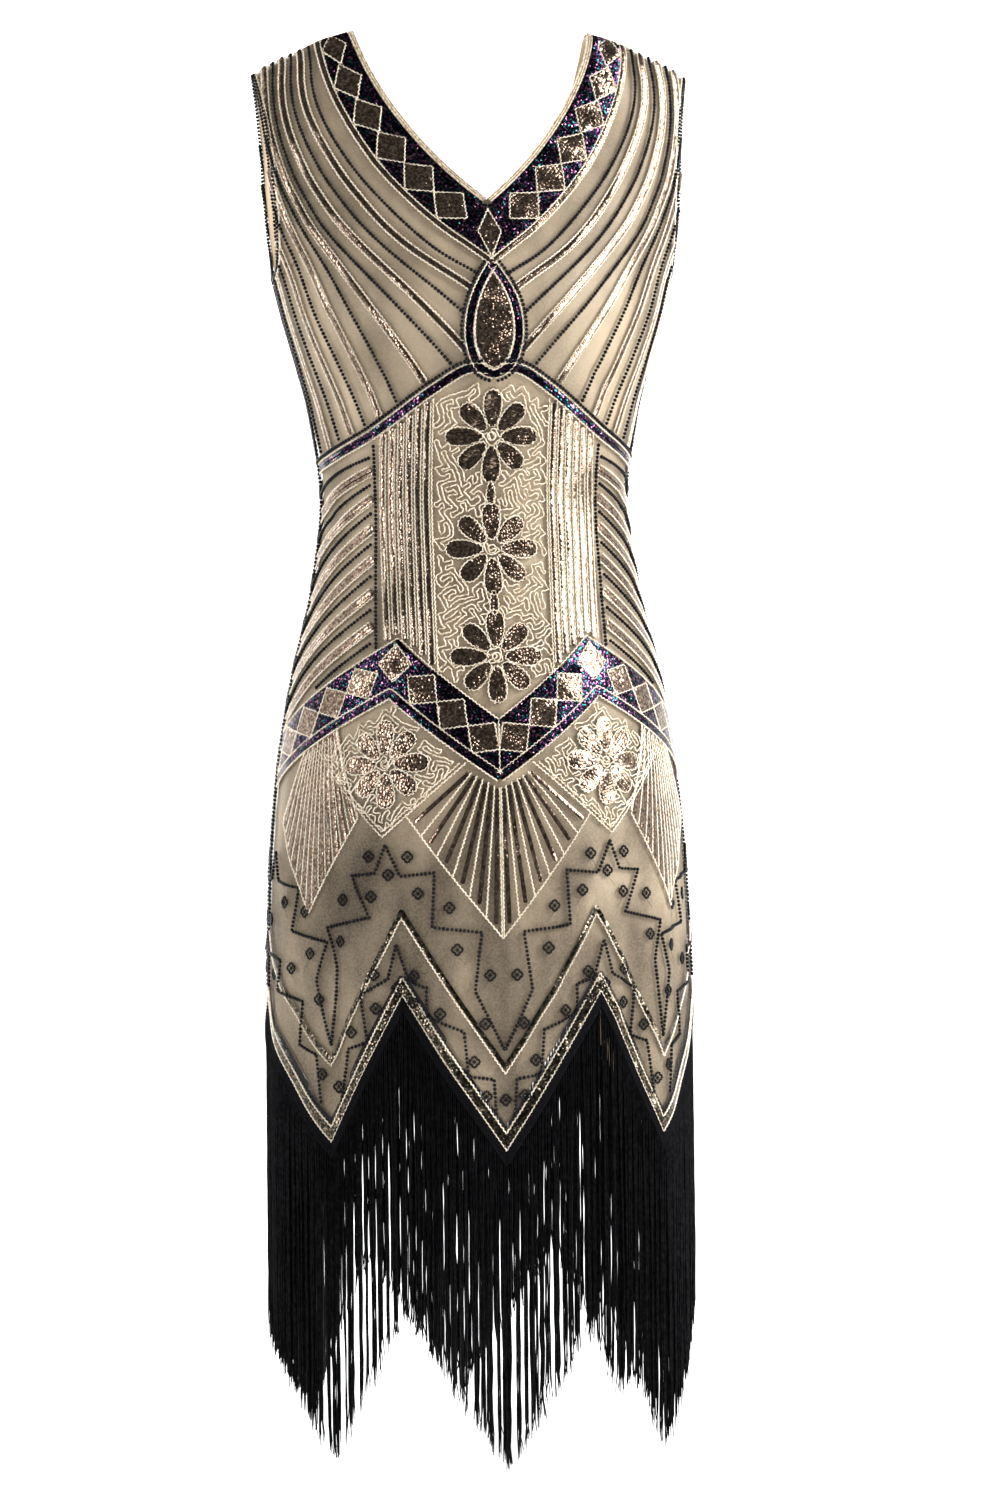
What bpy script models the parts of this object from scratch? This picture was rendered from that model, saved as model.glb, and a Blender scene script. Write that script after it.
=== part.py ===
"""Sleeveless beaded dress with a sheer overlay, a lining, a pointed hem and a long fringe.

The dress keeps the hollow form of a worn garment. Metres, +Z up, the front faces -Y and +X is the
wearer's left. The origin is midway between the two shoulder seams, level with their neck ends.

A place on the cloth is given by an angle, from the centre line of its panel towards +X (90 degrees is
the side seam), and a drop, the height below the top of the shoulders.
"""

import math
from collections import namedtuple

import bmesh
import bpy
import numpy as np

MM = 0.001
FRONT, BACK = "front", "back"

# Walls and gaps, millimetres
OVERLAY_WALL = 1.2
LINING_WALL = 1.0
SEAM_GAP = 0.3
MERGE = 0.01  # points this close are one
LINING_DEPTH = 4.5  # how far the lining's outer face lies inside the overlay's
TRIM_LIFT = 0.5
TRIM_WALL = 1.4

# Cross-sections of the worn dress, one for each level, millimetres
Section = namedtuple("Section", "drop half_width front_depth back_depth")
FORM = (
    Section(0, 175.0, 0.0, 0.0),
    Section(4, 176.0, 12.0, 12.0),
    Section(25, 179.0, 31.0, 32.0),
    Section(45, 182.0, 42.0, 46.0),
    Section(80, 184.0, 59.0, 66.0),
    Section(115, 182.0, 75.0, 82.0),
    Section(150, 174.0, 92.0, 95.0),
    Section(195, 158.0, 113.0, 105.0),
    Section(225, 150.5, 121.0, 107.0),
    Section(260, 140.5, 118.0, 102.0),
    Section(300, 130.5, 106.0, 94.0),
    Section(370, 122.0, 90.0, 84.0),
    Section(440, 130.5, 101.0, 101.0),
    Section(510, 147.0, 116.0, 123.0),
    Section(590, 160.5, 125.0, 133.0),
    Section(680, 168.0, 131.0, 137.0),
    Section(780, 171.0, 136.0, 140.0),
    Section(900, 170.5, 139.0, 142.0),
)

# Neckline: the neck end of the shoulder seam, two handles and the point of the V, as (across, drop)
NECKLINE = {
    FRONT: ((93.0, 0.0), (86.0, 40.0), (50.0, 98.0), (0.0, 138.5)),
    BACK: ((93.0, 0.0), (90.0, 50.0), (72.0, 124.0), (0.0, 172.0)),
}
SHOULDER_FALL = 34.0  # how much lower the arm end of the shoulder seam is
SHOULDER_BLEND = 150.0  # below this drop the shoulder's slope no longer shapes the cloth
SEAM_REACH = 1.3  # the seam's slope goes on this far past the armhole's edge

# Armhole: an ellipse in angle and drop, cut off by the shoulder seam
ARMHOLE_MIDDLE = 105.0
ARMHOLE_HALF_HEIGHT = 90.0
ARMHOLE_HALF_ANGLE = 27.0

# Hem: points and notches of the zigzag, the same on front and back
Corner = namedtuple("Corner", "angle drop")
HEM = (Corner(0.0, 872.0), Corner(27.0, 752.0), Corner(49.0, 868.0), Corner(90.0, 766.0))
LINING_HEM_RISE = 26.0

# Soft vertical folds of the skirt: waves round the whole dress and their share of the depth
Fold = namedtuple("Fold", "waves share start")
FOLDS = (Fold(7, 0.42, 0.6), Fold(11, 0.34, 2.1), Fold(17, 0.24, 4.0))
FOLD_START = 560.0
FOLD_FULL = 880.0
FOLD_DEPTH = 3.6

# Trims
NECK_BINDING = 5.0
ARM_BINDING = 2.4
HEM_BORDER = 9.0

# Fringe
FRINGE_LENGTH = 250.0
FRINGE_WALL = 2.0
HEADING = 8.0
STRAND_PITCH = 4.6
STRAND_SHARE = 0.68  # of the pitch, the rest is the gap to the next strand
STRAND_TAPER = 0.72
STRAND_SWAY = 0.28
STRAND_UNEVEN = 7.0
STRAND_SEED = {FRONT: 11, BACK: 12}
SEAM_ANGLE = 89.8  # the heading stops short of the side seam

# Mesh density
LEG_COLUMNS = (3, 3, 5)  # columns in each leg of the hem's zigzag
YOKE_ROWS = 12
BODY_ROWS = 19
LINING_YOKE_ROWS = 6
LINING_BODY_ROWS = 13
WAIST_ROW = 17  # the row of the panel's grid where the bodice's wall ends and the skirt's begins
TOP_CROWDING = 1.2  # power that draws the first rows up to the shoulder's round top

MATERIALS = {
    "overlay": ((0.075, 0.062, 0.050), 0.75, 0.0),
    "lining": ((0.62, 0.50, 0.35), 0.55, 0.0),
    "braid": ((0.60, 0.46, 0.31), 0.42, 0.35),
    "sequins": ((0.095, 0.060, 0.050), 0.25, 0.6),
    "beads": ((0.012, 0.011, 0.014), 0.20, 0.0),
    "fringe": ((0.008, 0.008, 0.010), 0.60, 0.0),
}


# ---------------------------------------------------------------- the form of the worn cloth


def smooth(xs, ys, at):
    """Cubic curve through the points (xs, ys), without overshoot, read at at."""
    xs, ys, at = (np.asarray(v, float) for v in (xs, ys, at))
    step = np.diff(xs)
    slope = np.diff(ys) / step
    inner = np.where(
        slope[1:] * slope[:-1] > 0,
        2 * slope[1:] * slope[:-1] / np.where(slope[1:] + slope[:-1] == 0, 1, slope[1:] + slope[:-1]),
        0.0,
    )
    tangent = np.concatenate([[slope[0]], inner, [slope[-1]]])
    i = np.clip(np.searchsorted(xs, at) - 1, 0, len(step) - 1)
    t = (at - xs[i]) / step[i]
    return (
        ys[i] * (1 + 2 * t) * (1 - t) ** 2
        + tangent[i] * step[i] * t * (1 - t) ** 2
        + ys[i + 1] * t * t * (3 - 2 * t)
        + tangent[i + 1] * step[i] * t * t * (t - 1)
    )


def form_column(name, drop):
    """One measure of the form at a drop. The root of the drop is even along the shoulder's round top."""
    roots = [math.sqrt(section.drop) for section in FORM]
    return smooth(roots, [getattr(section, name) for section in FORM], np.sqrt(np.clip(drop, 0, None)))


def ease(low, high, at):
    """0 below low, 1 above high, smooth between."""
    t = np.clip((np.asarray(at, float) - low) / (high - low), 0, 1)
    return t * t * (3 - 2 * t)


def armhole(share):
    """(angle, drop) along the armhole's edge: share 0 is at the shoulder and 1 under the arm."""
    start = math.acos((ARMHOLE_MIDDLE - SHOULDER_FALL) / ARMHOLE_HALF_HEIGHT)
    turn = start + (math.pi - start) * share
    return 90.0 - ARMHOLE_HALF_ANGLE * math.sin(turn), ARMHOLE_MIDDLE - ARMHOLE_HALF_HEIGHT * math.cos(turn)


def neckline(side, share):
    """(angle, drop) along the neckline: share 0 is at the shoulder and 1 at the point of the V."""
    points = np.array(NECKLINE[side])
    left = 1 - share
    weights = np.array([left**3, 3 * share * left**2, 3 * share**2 * left, share**3])
    across, drop = weights @ points
    return math.degrees(math.asin(across / form_column("half_width", drop))), drop


def seam_drop(angle):
    """The drop of the shoulder seam at an angle."""
    start, end = neckline(FRONT, 0)[0], armhole(0)[0]
    return SHOULDER_FALL * np.clip((np.abs(angle) - start) / (end - start), 0, SEAM_REACH)


def fold_height(side, angle, drop):
    """How far the skirt's folds stand out."""
    turn = np.radians(angle) if side == FRONT else math.pi - np.radians(angle)
    wave = sum(fold.share * np.cos(fold.waves * turn + fold.start) for fold in FOLDS)
    return FOLD_DEPTH * ease(FOLD_START, FOLD_FULL, drop) * wave


def surface(side, angle, drop):
    """Points of the overlay's outer face, in millimetres."""
    angle, drop = np.broadcast_arrays(np.asarray(angle, float), np.asarray(drop, float))
    sloped = seam_drop(angle) * (1 - ease(SHOULDER_FALL, SHOULDER_BLEND, drop))
    depth = form_column(side + "_depth", np.maximum(drop - sloped, 0))
    turn = np.radians(angle)
    out = fold_height(side, angle, drop)
    x = (form_column("half_width", drop) + out) * np.sin(turn)
    y = SEAM_GAP / 2 + (depth + out) * np.cos(turn)
    return np.stack([x, -y if side == FRONT else y, -drop], axis=-1)


def face_normal(side, angle, drop):
    """Outward normals of the overlay. At a seam the normal lies in the seam's plane."""
    angle, drop = np.broadcast_arrays(np.asarray(angle, float), np.asarray(drop, float))
    turn_step, drop_step = 0.2, 0.4
    round_it = surface(side, angle + turn_step, drop) - surface(side, angle - turn_step, drop)
    down = surface(side, angle, drop + drop_step) - surface(side, angle, drop)
    normal = np.cross(down, round_it) if side == FRONT else np.cross(round_it, down)
    at_seam = (np.abs(drop - seam_drop(angle)) < 0.01) | (np.abs(np.abs(angle) - 90) < 0.01)
    normal[..., 1] = np.where(at_seam, 0.0, normal[..., 1])
    normal /= np.linalg.norm(normal, axis=-1, keepdims=True)
    return normal


def lifted(side, angle, drop, lift):
    """Points of the cloth moved out by lift, or in where it is negative, in metres."""
    return (surface(side, angle, drop) + face_normal(side, angle, drop) * lift) * MM


def hem_drop(angle):
    return np.interp(np.abs(angle), [corner.angle for corner in HEM], [corner.drop for corner in HEM])


def hem_arc(side, start, end, steps=40):
    """Length of the cloth round the hem between two angles."""
    angle = np.linspace(start, end, steps)
    points = surface(side, angle, HEM[0].drop)
    return float(np.linalg.norm(np.diff(points, axis=0), axis=1).sum())


# ---------------------------------------------------------------- building solids


def material(name):
    made = bpy.data.materials.get(name) or bpy.data.materials.new(name)
    colour, roughness, metallic = MATERIALS[name]
    made.use_nodes = True
    shader = made.node_tree.nodes["Principled BSDF"]
    shader.inputs["Base Color"].default_value = (*colour, 1.0)
    shader.inputs["Roughness"].default_value = roughness
    shader.inputs["Metallic"].default_value = metallic
    return made


def add_sheet(bm, points):
    """An open sheet through a grid of points, one row of the array for each row of the cloth."""
    rows, columns = points.shape[:2]
    grid = bmesh.ops.create_grid(bm, x_segments=columns - 1, y_segments=rows - 1, size=1.0)
    for vert, point in zip(grid["verts"], points.reshape(-1, 3)):
        vert.co = point


def add_object(name, bm, finish, collection):
    bmesh.ops.recalc_face_normals(bm, faces=bm.faces)
    mesh = bpy.data.meshes.new(name)
    bm.to_mesh(mesh)
    bm.free()
    mesh.materials.append(material(finish))
    mesh.shade_smooth()
    mesh.set_sharp_from_angle(angle=math.radians(40))
    obj = bpy.data.objects.new(name, mesh)
    collection.objects.link(obj)


def column_angles():
    """Angles of the columns of a half panel, with one on each corner of the hem."""
    corners = [corner.angle for corner in HEM]
    angles = [0.0]
    for start, end, count in zip(corners, corners[1:], LEG_COLUMNS):
        angles += [start + (end - start) * (k + 1) / count for k in range(count)]
    return np.array(angles)


def panel_rows(side, yoke_rows, body_rows):
    """The rows of a half panel, top down, as (inner angle, inner drop, outer angle, outer drop, to hem).

    Yoke rows run from the neckline to the armhole, and body rows from the centre line to the side seam.
    """
    rows = []
    for k in range(yoke_rows + 1):
        share = k / yoke_rows
        rows.append((*neckline(side, share**TOP_CROWDING), *armhole(share), 0.0))
    inner_top, outer_top = rows[-1][1], rows[-1][3]
    for k in range(1, body_rows + 1):
        rows.append((0.0, inner_top, 90.0, outer_top, k / body_rows))
    return rows


def grid_places(side, yoke_rows, body_rows, hem_rise=0.0):
    """Angles and drops of a half panel's grid, one row of the arrays for each row of the cloth."""
    columns = column_angles()
    share = columns / 90.0
    angles, drops = [], []
    for inner_angle, inner_drop, outer_angle, outer_drop, down in panel_rows(side, yoke_rows, body_rows):
        angle = inner_angle + (outer_angle - inner_angle) * share
        if len(angles) == 0:
            drop = seam_drop(angle)
        else:
            drop = inner_drop + (outer_drop - inner_drop) * ease(0, 1, share)
            drop = drop + (hem_drop(angle) - hem_rise - drop) * down
        angles.append(angle)
        drops.append(drop)
    return np.array(angles), np.array(drops)


def bodice_and_skirt(places):
    """The places above and below the waist row, a seam's gap apart."""
    angles, drops = places
    below = drops[WAIST_ROW:].copy()
    below[0] += SEAM_GAP
    bodice = (angles[: WAIST_ROW + 1], drops[: WAIST_ROW + 1])
    return bodice, (angles[WAIST_ROW:], below)


def add_panel(name, side, lift, wall, places, finish, collection):
    """A wall of cloth on the form, its outer face at lift: two halves, parted above the neckline."""
    angles, drops = places
    bm = bmesh.new()
    for half in (-1, 1):
        points = lifted(side, half * angles, drops, lift)[:, ::half]
        add_sheet(bm, points[::-1] if side == FRONT else points)
    bmesh.ops.remove_doubles(bm, verts=bm.verts, dist=MERGE * MM)
    bmesh.ops.solidify(bm, geom=bm.faces, thickness=wall * MM)
    # The wall ends in the plane of the seams.
    plane = SEAM_GAP / 2 * MM
    for vert in bm.verts:
        vert.co.y = min(vert.co.y, -plane) if side == FRONT else max(vert.co.y, plane)
    add_object(name, bm, finish, collection)


def add_strip(name, edges, finish, collection):
    """A flat trim along the cloth: edges holds its four corners' lines, and its ends close or meet."""
    bm = bmesh.new()
    add_sheet(bm, np.stack([*edges, edges[0]], axis=1))
    bmesh.ops.remove_doubles(bm, verts=bm.verts, dist=MERGE * MM)
    bmesh.ops.holes_fill(bm, edges=bm.edges)
    add_object(name, bm, finish, collection)


def yoke_edge(side, half, places, column, lift, inset):
    """A line beside the yoke's edge, inset into the cloth: column 0 is the neckline and -1 the armhole."""
    angle, drop = (grid[: YOKE_ROWS + 1, column] for grid in places)
    edge = lifted(side, half * angle, drop, lift)
    along = np.gradient(edge, axis=0)
    across = np.cross(along, face_normal(side, half * angle, drop))
    across /= np.linalg.norm(across, axis=-1, keepdims=True)
    into_cloth = half if column == 0 else -half
    across *= np.sign(across[1, 0]) * into_cloth
    line = edge + across * inset * MM
    # The ends lie in the planes of the seams, and the neckline's two sides meet in a mitre.
    line[0, 1] = edge[0, 1]
    if column == 0:
        line[-1] -= along[-1] * line[-1, 0] / along[-1, 0]
    else:
        line[-1, 1] = edge[-1, 1]
    return line


def neck_binding(side, places, collection):
    """Braid that follows one side of the neckline down to the V and the other side up."""
    corners = ((TRIM_LIFT, 0), (TRIM_LIFT, NECK_BINDING))
    corners += ((TRIM_LIFT + TRIM_WALL, NECK_BINDING), (TRIM_LIFT + TRIM_WALL, 0))
    edges = []
    for lift, inset in corners:
        one, other = (yoke_edge(side, half, places, 0, lift, inset) for half in (1, -1))
        edges.append(np.concatenate([one, other[-2::-1]]))
    add_strip(side + "_neck_binding", edges, "braid", collection)


def armhole_binding(name, half, places, collection):
    """One ring of beading round an armhole's edge, over the shoulder seam and under the arm."""
    low, high = -(OVERLAY_WALL + ARM_BINDING) / 2, (ARM_BINDING - OVERLAY_WALL) / 2
    near, far = -SEAM_GAP, -SEAM_GAP - ARM_BINDING
    edges = []
    for lift, inset in ((low, near), (low, far), (high, far), (high, near)):
        front, back = (yoke_edge(side, half, places[side], -1, lift, inset) for side in (FRONT, BACK))
        edges.append(np.concatenate([front, back[::-1], front[:1]]))
    add_strip(name, edges, "beads", collection)


def hem_border(side, places, collection):
    """The sequinned border along the zigzag of the cut edge."""
    angle, drop = (np.concatenate([sign * grid[-1, :0:-1], grid[-1]]) for grid, sign in zip(places, (-1, 1)))
    level_run = hem_arc(side, HEM[0].angle, HEM[1].angle)
    rise = HEM_BORDER * math.hypot(HEM[1].drop - HEM[0].drop, level_run) / level_run
    up = np.array([0.0, 0.0, rise * MM])
    low, high = (lifted(side, angle, drop, lift) for lift in (TRIM_LIFT, TRIM_LIFT + TRIM_WALL))
    add_strip(side + "_hem_border", (low, low + up, high + up, high), "sequins", collection)


# ---------------------------------------------------------------- fringe


def fringe_stations(side):
    """Angles round the hem where strands and gaps start by turns, from the centre to the side seam."""
    corners = [corner.angle for corner in HEM]
    stations = []
    for start, end in zip(corners, corners[1:]):
        count = round(hem_arc(side, start, end) / STRAND_PITCH)
        pitch = (end - start) / count
        for k in range(count):
            stations += [start + pitch * k, start + pitch * (k + STRAND_SHARE)]
    return np.array([*stations, SEAM_ANGLE])


def fringe(side, collection):
    """Strands that hang from a narrow heading just under the hem's edge, all in one piece."""
    half = fringe_stations(side)
    angles = np.concatenate([-half[:0:-1], half])
    foot = hem_drop(angles) + 2 * SEAM_GAP + HEADING
    outside = (FRINGE_WALL - OVERLAY_WALL) / 2
    bm = bmesh.new()
    add_sheet(bm, np.stack([lifted(side, angles, foot, lift) for lift in (outside, outside - FRINGE_WALL)]))
    undersides = list(bm.faces)
    heading = bmesh.ops.extrude_face_region(bm, geom=undersides, use_keep_orig=True)["geom"]
    heading_top = [item for item in heading if isinstance(item, bmesh.types.BMVert)]
    bmesh.ops.translate(bm, verts=heading_top, vec=(0.0, 0.0, HEADING * MM))
    # Counted from the centre line either way, every other underside carries a strand.
    centre = len(half) - 1
    roots = undersides[centre::2] + undersides[:centre][::-2]
    rng = np.random.default_rng(STRAND_SEED[side])
    for face in bmesh.ops.extrude_discrete_faces(bm, faces=roots)["faces"]:
        middle = face.calc_center_median()
        fall = (FRINGE_LENGTH - HEADING - rng.uniform(0, STRAND_UNEVEN)) * MM
        sway = rng.uniform(-STRAND_SWAY, STRAND_SWAY, 2) * MM
        for vert in face.verts:
            vert.co = middle + (vert.co - middle) * STRAND_TAPER
            vert.co.x += sway[0]
            vert.co.y += sway[1]
            vert.co.z = middle.z - fall
    add_object(side + "_fringe", bm, "fringe", collection)


# ---------------------------------------------------------------- the dress


def clear_scene():
    for obj in list(bpy.data.objects):
        bpy.data.objects.remove(obj, do_unlink=True)


def main():
    clear_scene()
    dress = bpy.data.collections.new("flapper_dress")
    bpy.context.scene.collection.children.link(dress)
    places = {side: grid_places(side, YOKE_ROWS, BODY_ROWS) for side in (FRONT, BACK)}
    for side in (FRONT, BACK):
        bodice, skirt = bodice_and_skirt(places[side])
        add_panel(side + "_bodice", side, 0.0, OVERLAY_WALL, bodice, "overlay", dress)
        add_panel(side + "_skirt", side, 0.0, OVERLAY_WALL, skirt, "overlay", dress)
        inner = grid_places(side, LINING_YOKE_ROWS, LINING_BODY_ROWS, LINING_HEM_RISE)
        add_panel(side + "_lining", side, -LINING_DEPTH, LINING_WALL, inner, "lining", dress)
        neck_binding(side, places[side], dress)
        hem_border(side, places[side], dress)
        fringe(side, dress)
    armhole_binding("left_armhole_binding", 1, places, dress)
    armhole_binding("right_armhole_binding", -1, places, dress)


main()
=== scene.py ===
"""Looks of the flapper dress: sheer net and lining on the worn form, with all its beading, and the fringe.

A place on the cloth is (angle, drop): degrees from the centre line of its panel towards +X, and
millimetres below the top of the shoulders. Sizes are in millimetres, and the scene is in metres.
"""

import math
from collections import namedtuple
from functools import partial

import bmesh
import bpy
import numpy as np
from mathutils import Matrix, Vector

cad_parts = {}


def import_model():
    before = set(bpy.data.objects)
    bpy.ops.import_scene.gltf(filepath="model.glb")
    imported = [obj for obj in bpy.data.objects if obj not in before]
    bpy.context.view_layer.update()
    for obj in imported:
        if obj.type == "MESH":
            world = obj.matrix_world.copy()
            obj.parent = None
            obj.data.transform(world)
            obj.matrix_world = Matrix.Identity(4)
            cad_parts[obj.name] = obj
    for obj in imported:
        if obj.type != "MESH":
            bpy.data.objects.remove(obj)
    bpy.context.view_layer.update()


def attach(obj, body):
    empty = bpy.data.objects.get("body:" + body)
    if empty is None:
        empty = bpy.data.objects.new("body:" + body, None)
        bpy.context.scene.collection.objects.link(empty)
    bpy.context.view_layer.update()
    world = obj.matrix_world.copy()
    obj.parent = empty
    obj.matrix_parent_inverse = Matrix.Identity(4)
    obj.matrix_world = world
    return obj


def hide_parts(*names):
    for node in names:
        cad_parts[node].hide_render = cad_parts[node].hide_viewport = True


MM = 0.001
FRONT, BACK = "front", "back"
SIDES = (FRONT, BACK)

# ---------------------------------------------------------------- the form of the worn cloth

SEAM_GAP = 0.3
SEAM_EDGE = 89.6  # the angle at which the fringe and the lozenge band of one side stop
LINING_DEPTH, LINING_WALL, LINING_RISE = 2.0, 0.7, 17.0

Section = namedtuple("Section", "drop half_width front_depth back_depth")
FORM = [Section(*row) for row in (
    (0, 175.0, 0.0, 0.0), (4, 176.0, 12.0, 12.0), (25, 179.0, 31.0, 32.0), (45, 182.0, 42.0, 46.0),
    (80, 184.0, 59.0, 66.0), (115, 182.0, 75.0, 82.0), (150, 174.0, 92.0, 95.0), (195, 158.0, 113.0, 105.0),
    (225, 150.5, 121.0, 107.0), (260, 140.5, 118.0, 102.0), (300, 130.5, 106.0, 94.0),
    (370, 122.0, 90.0, 84.0), (440, 130.5, 101.0, 101.0), (510, 147.0, 116.0, 123.0),
    (590, 160.5, 125.0, 133.0), (680, 168.0, 131.0, 137.0), (780, 171.0, 136.0, 140.0),
    (900, 170.5, 139.0, 142.0),
)]
NECKLINE = {
    FRONT: ((93.0, 0.0), (86.0, 40.0), (50.0, 98.0), (0.0, 138.5)),
    BACK: ((93.0, 0.0), (90.0, 50.0), (72.0, 124.0), (0.0, 172.0)),
}
SHOULDER_FALL, SHOULDER_BLEND, SEAM_REACH = 34.0, 150.0, 1.3
ARMHOLE_MIDDLE, ARMHOLE_HALF_HEIGHT, ARMHOLE_HALF_ANGLE = 105.0, 90.0, 27.0
Corner = namedtuple("Corner", "angle drop")
HEM = (Corner(0.0, 872.0), Corner(27.0, 752.0), Corner(49.0, 868.0), Corner(90.0, 766.0))
Fold = namedtuple("Fold", "waves share start")
FOLDS = (Fold(7, 0.42, 0.6), Fold(11, 0.34, 2.1), Fold(17, 0.24, 4.0))
FOLD_START, FOLD_FULL, FOLD_DEPTH = 560.0, 880.0, 3.6

# Soft creases, listed one by one: where one starts and ends, its half width and its height (a trough below 0)
Crease = namedtuple("Crease", "angle drop to_angle to_drop half_width height")
CREASES = {
    FRONT: (
        (-30, 655, -8, 845, 7, 2.1), (-17, 640, -5, 760, 6, -1.8), (-4, 700, 6, 830, 6, 1.7),
        (12, 660, 17, 800, 6, 2.0), (30, 640, 24, 745, 6, -2.0), (37, 700, 33, 790, 5, 1.6),
        (44, 690, 51, 860, 7, 2.3), (-38, 650, -45, 760, 6, 1.8), (-52, 680, -43, 840, 7, -2.2),
        (-70, 610, -66, 800, 9, 2.0), (60, 650, 57, 760, 6, -1.7), (71, 620, 78, 790, 8, -1.9),
        (22, 255, 50, 300, 7, -1.0), (-26, 262, -47, 300, 6, -0.8), (62, 380, 84, 350, 7, -0.9),
        (-60, 395, -86, 362, 7, -1.0),
    ),
    BACK: (
        (-24, 650, -14, 830, 7, 2.1), (8, 640, 2, 790, 6, -1.8), (22, 680, 15, 790, 6, 1.7),
        (33, 660, 41, 850, 8, 2.1), (-47, 690, -55, 850, 7, -1.9), (-66, 630, -62, 770, 8, 1.8),
        (64, 640, 70, 790, 8, 1.8), (20, 395, 52, 372, 7, -1.1), (-24, 402, -58, 368, 7, -0.9),
    ),
}
DEGREE = 2.4  # roughly the millimetres in a degree of angle


def smooth(xs, ys, at):
    """Cubic curve through the points (xs, ys), without overshoot, read at those places."""
    xs, ys, at = (np.asarray(v, float) for v in (xs, ys, at))
    step = np.diff(xs)
    slope = np.diff(ys) / step
    total = slope[1:] + slope[:-1]
    product = slope[1:] * slope[:-1]
    inner = np.where(product > 0, 2 * product / np.where(total == 0, 1, total), 0.0)
    tangent = np.concatenate([[slope[0]], inner, [slope[-1]]])
    i = np.clip(np.searchsorted(xs, at) - 1, 0, len(step) - 1)
    t = (at - xs[i]) / step[i]
    return (
        ys[i] * (1 + 2 * t) * (1 - t) ** 2
        + tangent[i] * step[i] * t * (1 - t) ** 2
        + ys[i + 1] * t * t * (3 - 2 * t)
        + tangent[i + 1] * step[i] * t * t * (t - 1)
    )


def form_column(name, drop):
    """One column of FORM at a drop."""
    roots = [math.sqrt(section.drop) for section in FORM]
    return smooth(roots, [getattr(section, name) for section in FORM], np.sqrt(np.clip(drop, 0, None)))


def ease(low, high, at):
    """A smooth step from 0 at low to 1 at high."""
    t = np.clip((np.asarray(at, float) - low) / (high - low), 0, 1)
    return t * t * (3 - 2 * t)


def armhole(share):
    """(angle, drop) along the armhole's edge: share 0 is at the shoulder and 1 under the arm."""
    start = math.acos((ARMHOLE_MIDDLE - SHOULDER_FALL) / ARMHOLE_HALF_HEIGHT)
    turn = start + (math.pi - start) * np.asarray(share, float)
    angle = 90.0 - ARMHOLE_HALF_ANGLE * np.sin(turn)
    return np.stack([angle, ARMHOLE_MIDDLE - ARMHOLE_HALF_HEIGHT * np.cos(turn)], -1)


def neckline(side, share):
    """(angle, drop) along the neckline: share 0 is at the shoulder and 1 at the point of the V."""
    share = np.asarray(share, float)
    left = 1 - share
    weights = np.stack([left**3, 3 * share * left**2, 3 * share**2 * left, share**3], -1)
    across, drop = np.moveaxis(weights @ np.array(NECKLINE[side]), -1, 0)
    return np.stack([np.degrees(np.arcsin(across / form_column("half_width", drop))), drop], -1)


SEAM_SPAN = (neckline(FRONT, 0)[0], armhole(0)[0])


def seam_drop(angle):
    """Drop of the shoulder seam."""
    start, end = SEAM_SPAN
    return SHOULDER_FALL * np.clip((np.abs(angle) - start) / (end - start), 0, SEAM_REACH)


def crease_height(side, angle, drop):
    """Height of the creases: each is a soft ridge or trough that fades out at its ends and sides."""
    high = np.zeros(np.broadcast(angle, drop).shape)
    for crease in (Crease(*row) for row in CREASES[side]):
        run = np.array([(crease.to_angle - crease.angle) * DEGREE, crease.to_drop - crease.drop])
        length = np.hypot(*run)
        x, y = (angle - crease.angle) * DEGREE, drop - crease.drop
        along = (x * run[0] + y * run[1]) / length**2
        off = (x * run[1] - y * run[0]) / length + 5 * np.sin(3.1 * along + crease.angle)
        fade = ease(0, 0.3, along) * (1 - ease(0.7, 1, along))
        high = high + crease.height * fade * np.exp(-((off / crease.half_width) ** 2))
    return high


def surface(side, angle, drop):
    """Points of the overlay's outer face."""
    angle, drop = np.broadcast_arrays(np.asarray(angle, float), np.asarray(drop, float))
    sloped = seam_drop(angle) * (1 - ease(SHOULDER_FALL, SHOULDER_BLEND, drop))
    depth = form_column(side + "_depth", np.maximum(drop - sloped, 0))
    turn = np.radians(angle)
    around = turn if side == FRONT else math.pi - turn
    wave = sum(fold.share * np.cos(fold.waves * around + fold.start) for fold in FOLDS)
    out = FOLD_DEPTH * ease(FOLD_START, FOLD_FULL, drop) * wave + crease_height(side, angle, drop)
    x = (form_column("half_width", drop) + out) * np.sin(turn)
    y = SEAM_GAP / 2 + (depth + out) * np.cos(turn)
    return np.stack([x, -y if side == FRONT else y, -drop], axis=-1)


def unit(vectors):
    return vectors / np.maximum(np.linalg.norm(vectors, axis=-1, keepdims=True), 1e-9)


def face_normal(side, angle, drop):
    """Outward normals. At a seam the normal lies in the seam's plane."""
    angle, drop = np.broadcast_arrays(np.asarray(angle, float), np.asarray(drop, float))
    round_it = surface(side, angle + 0.2, drop) - surface(side, angle - 0.2, drop)
    down = surface(side, angle, drop + 0.4) - surface(side, angle, drop)
    normal = np.cross(down, round_it) if side == FRONT else np.cross(round_it, down)
    at_seam = (np.abs(drop - seam_drop(angle)) < 0.01) | (np.abs(np.abs(angle) - 90) < 0.01)
    normal[..., 1] = np.where(at_seam, 0.0, normal[..., 1])
    return unit(normal)


def read(table, at):
    """The second column of a table where its first column is at."""
    return np.interp(at, *np.array(table, float).T)


def hem_drop(angle):
    return read(HEM, np.abs(angle))


# ---------------------------------------------------------------- places and lines on the cloth


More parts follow.
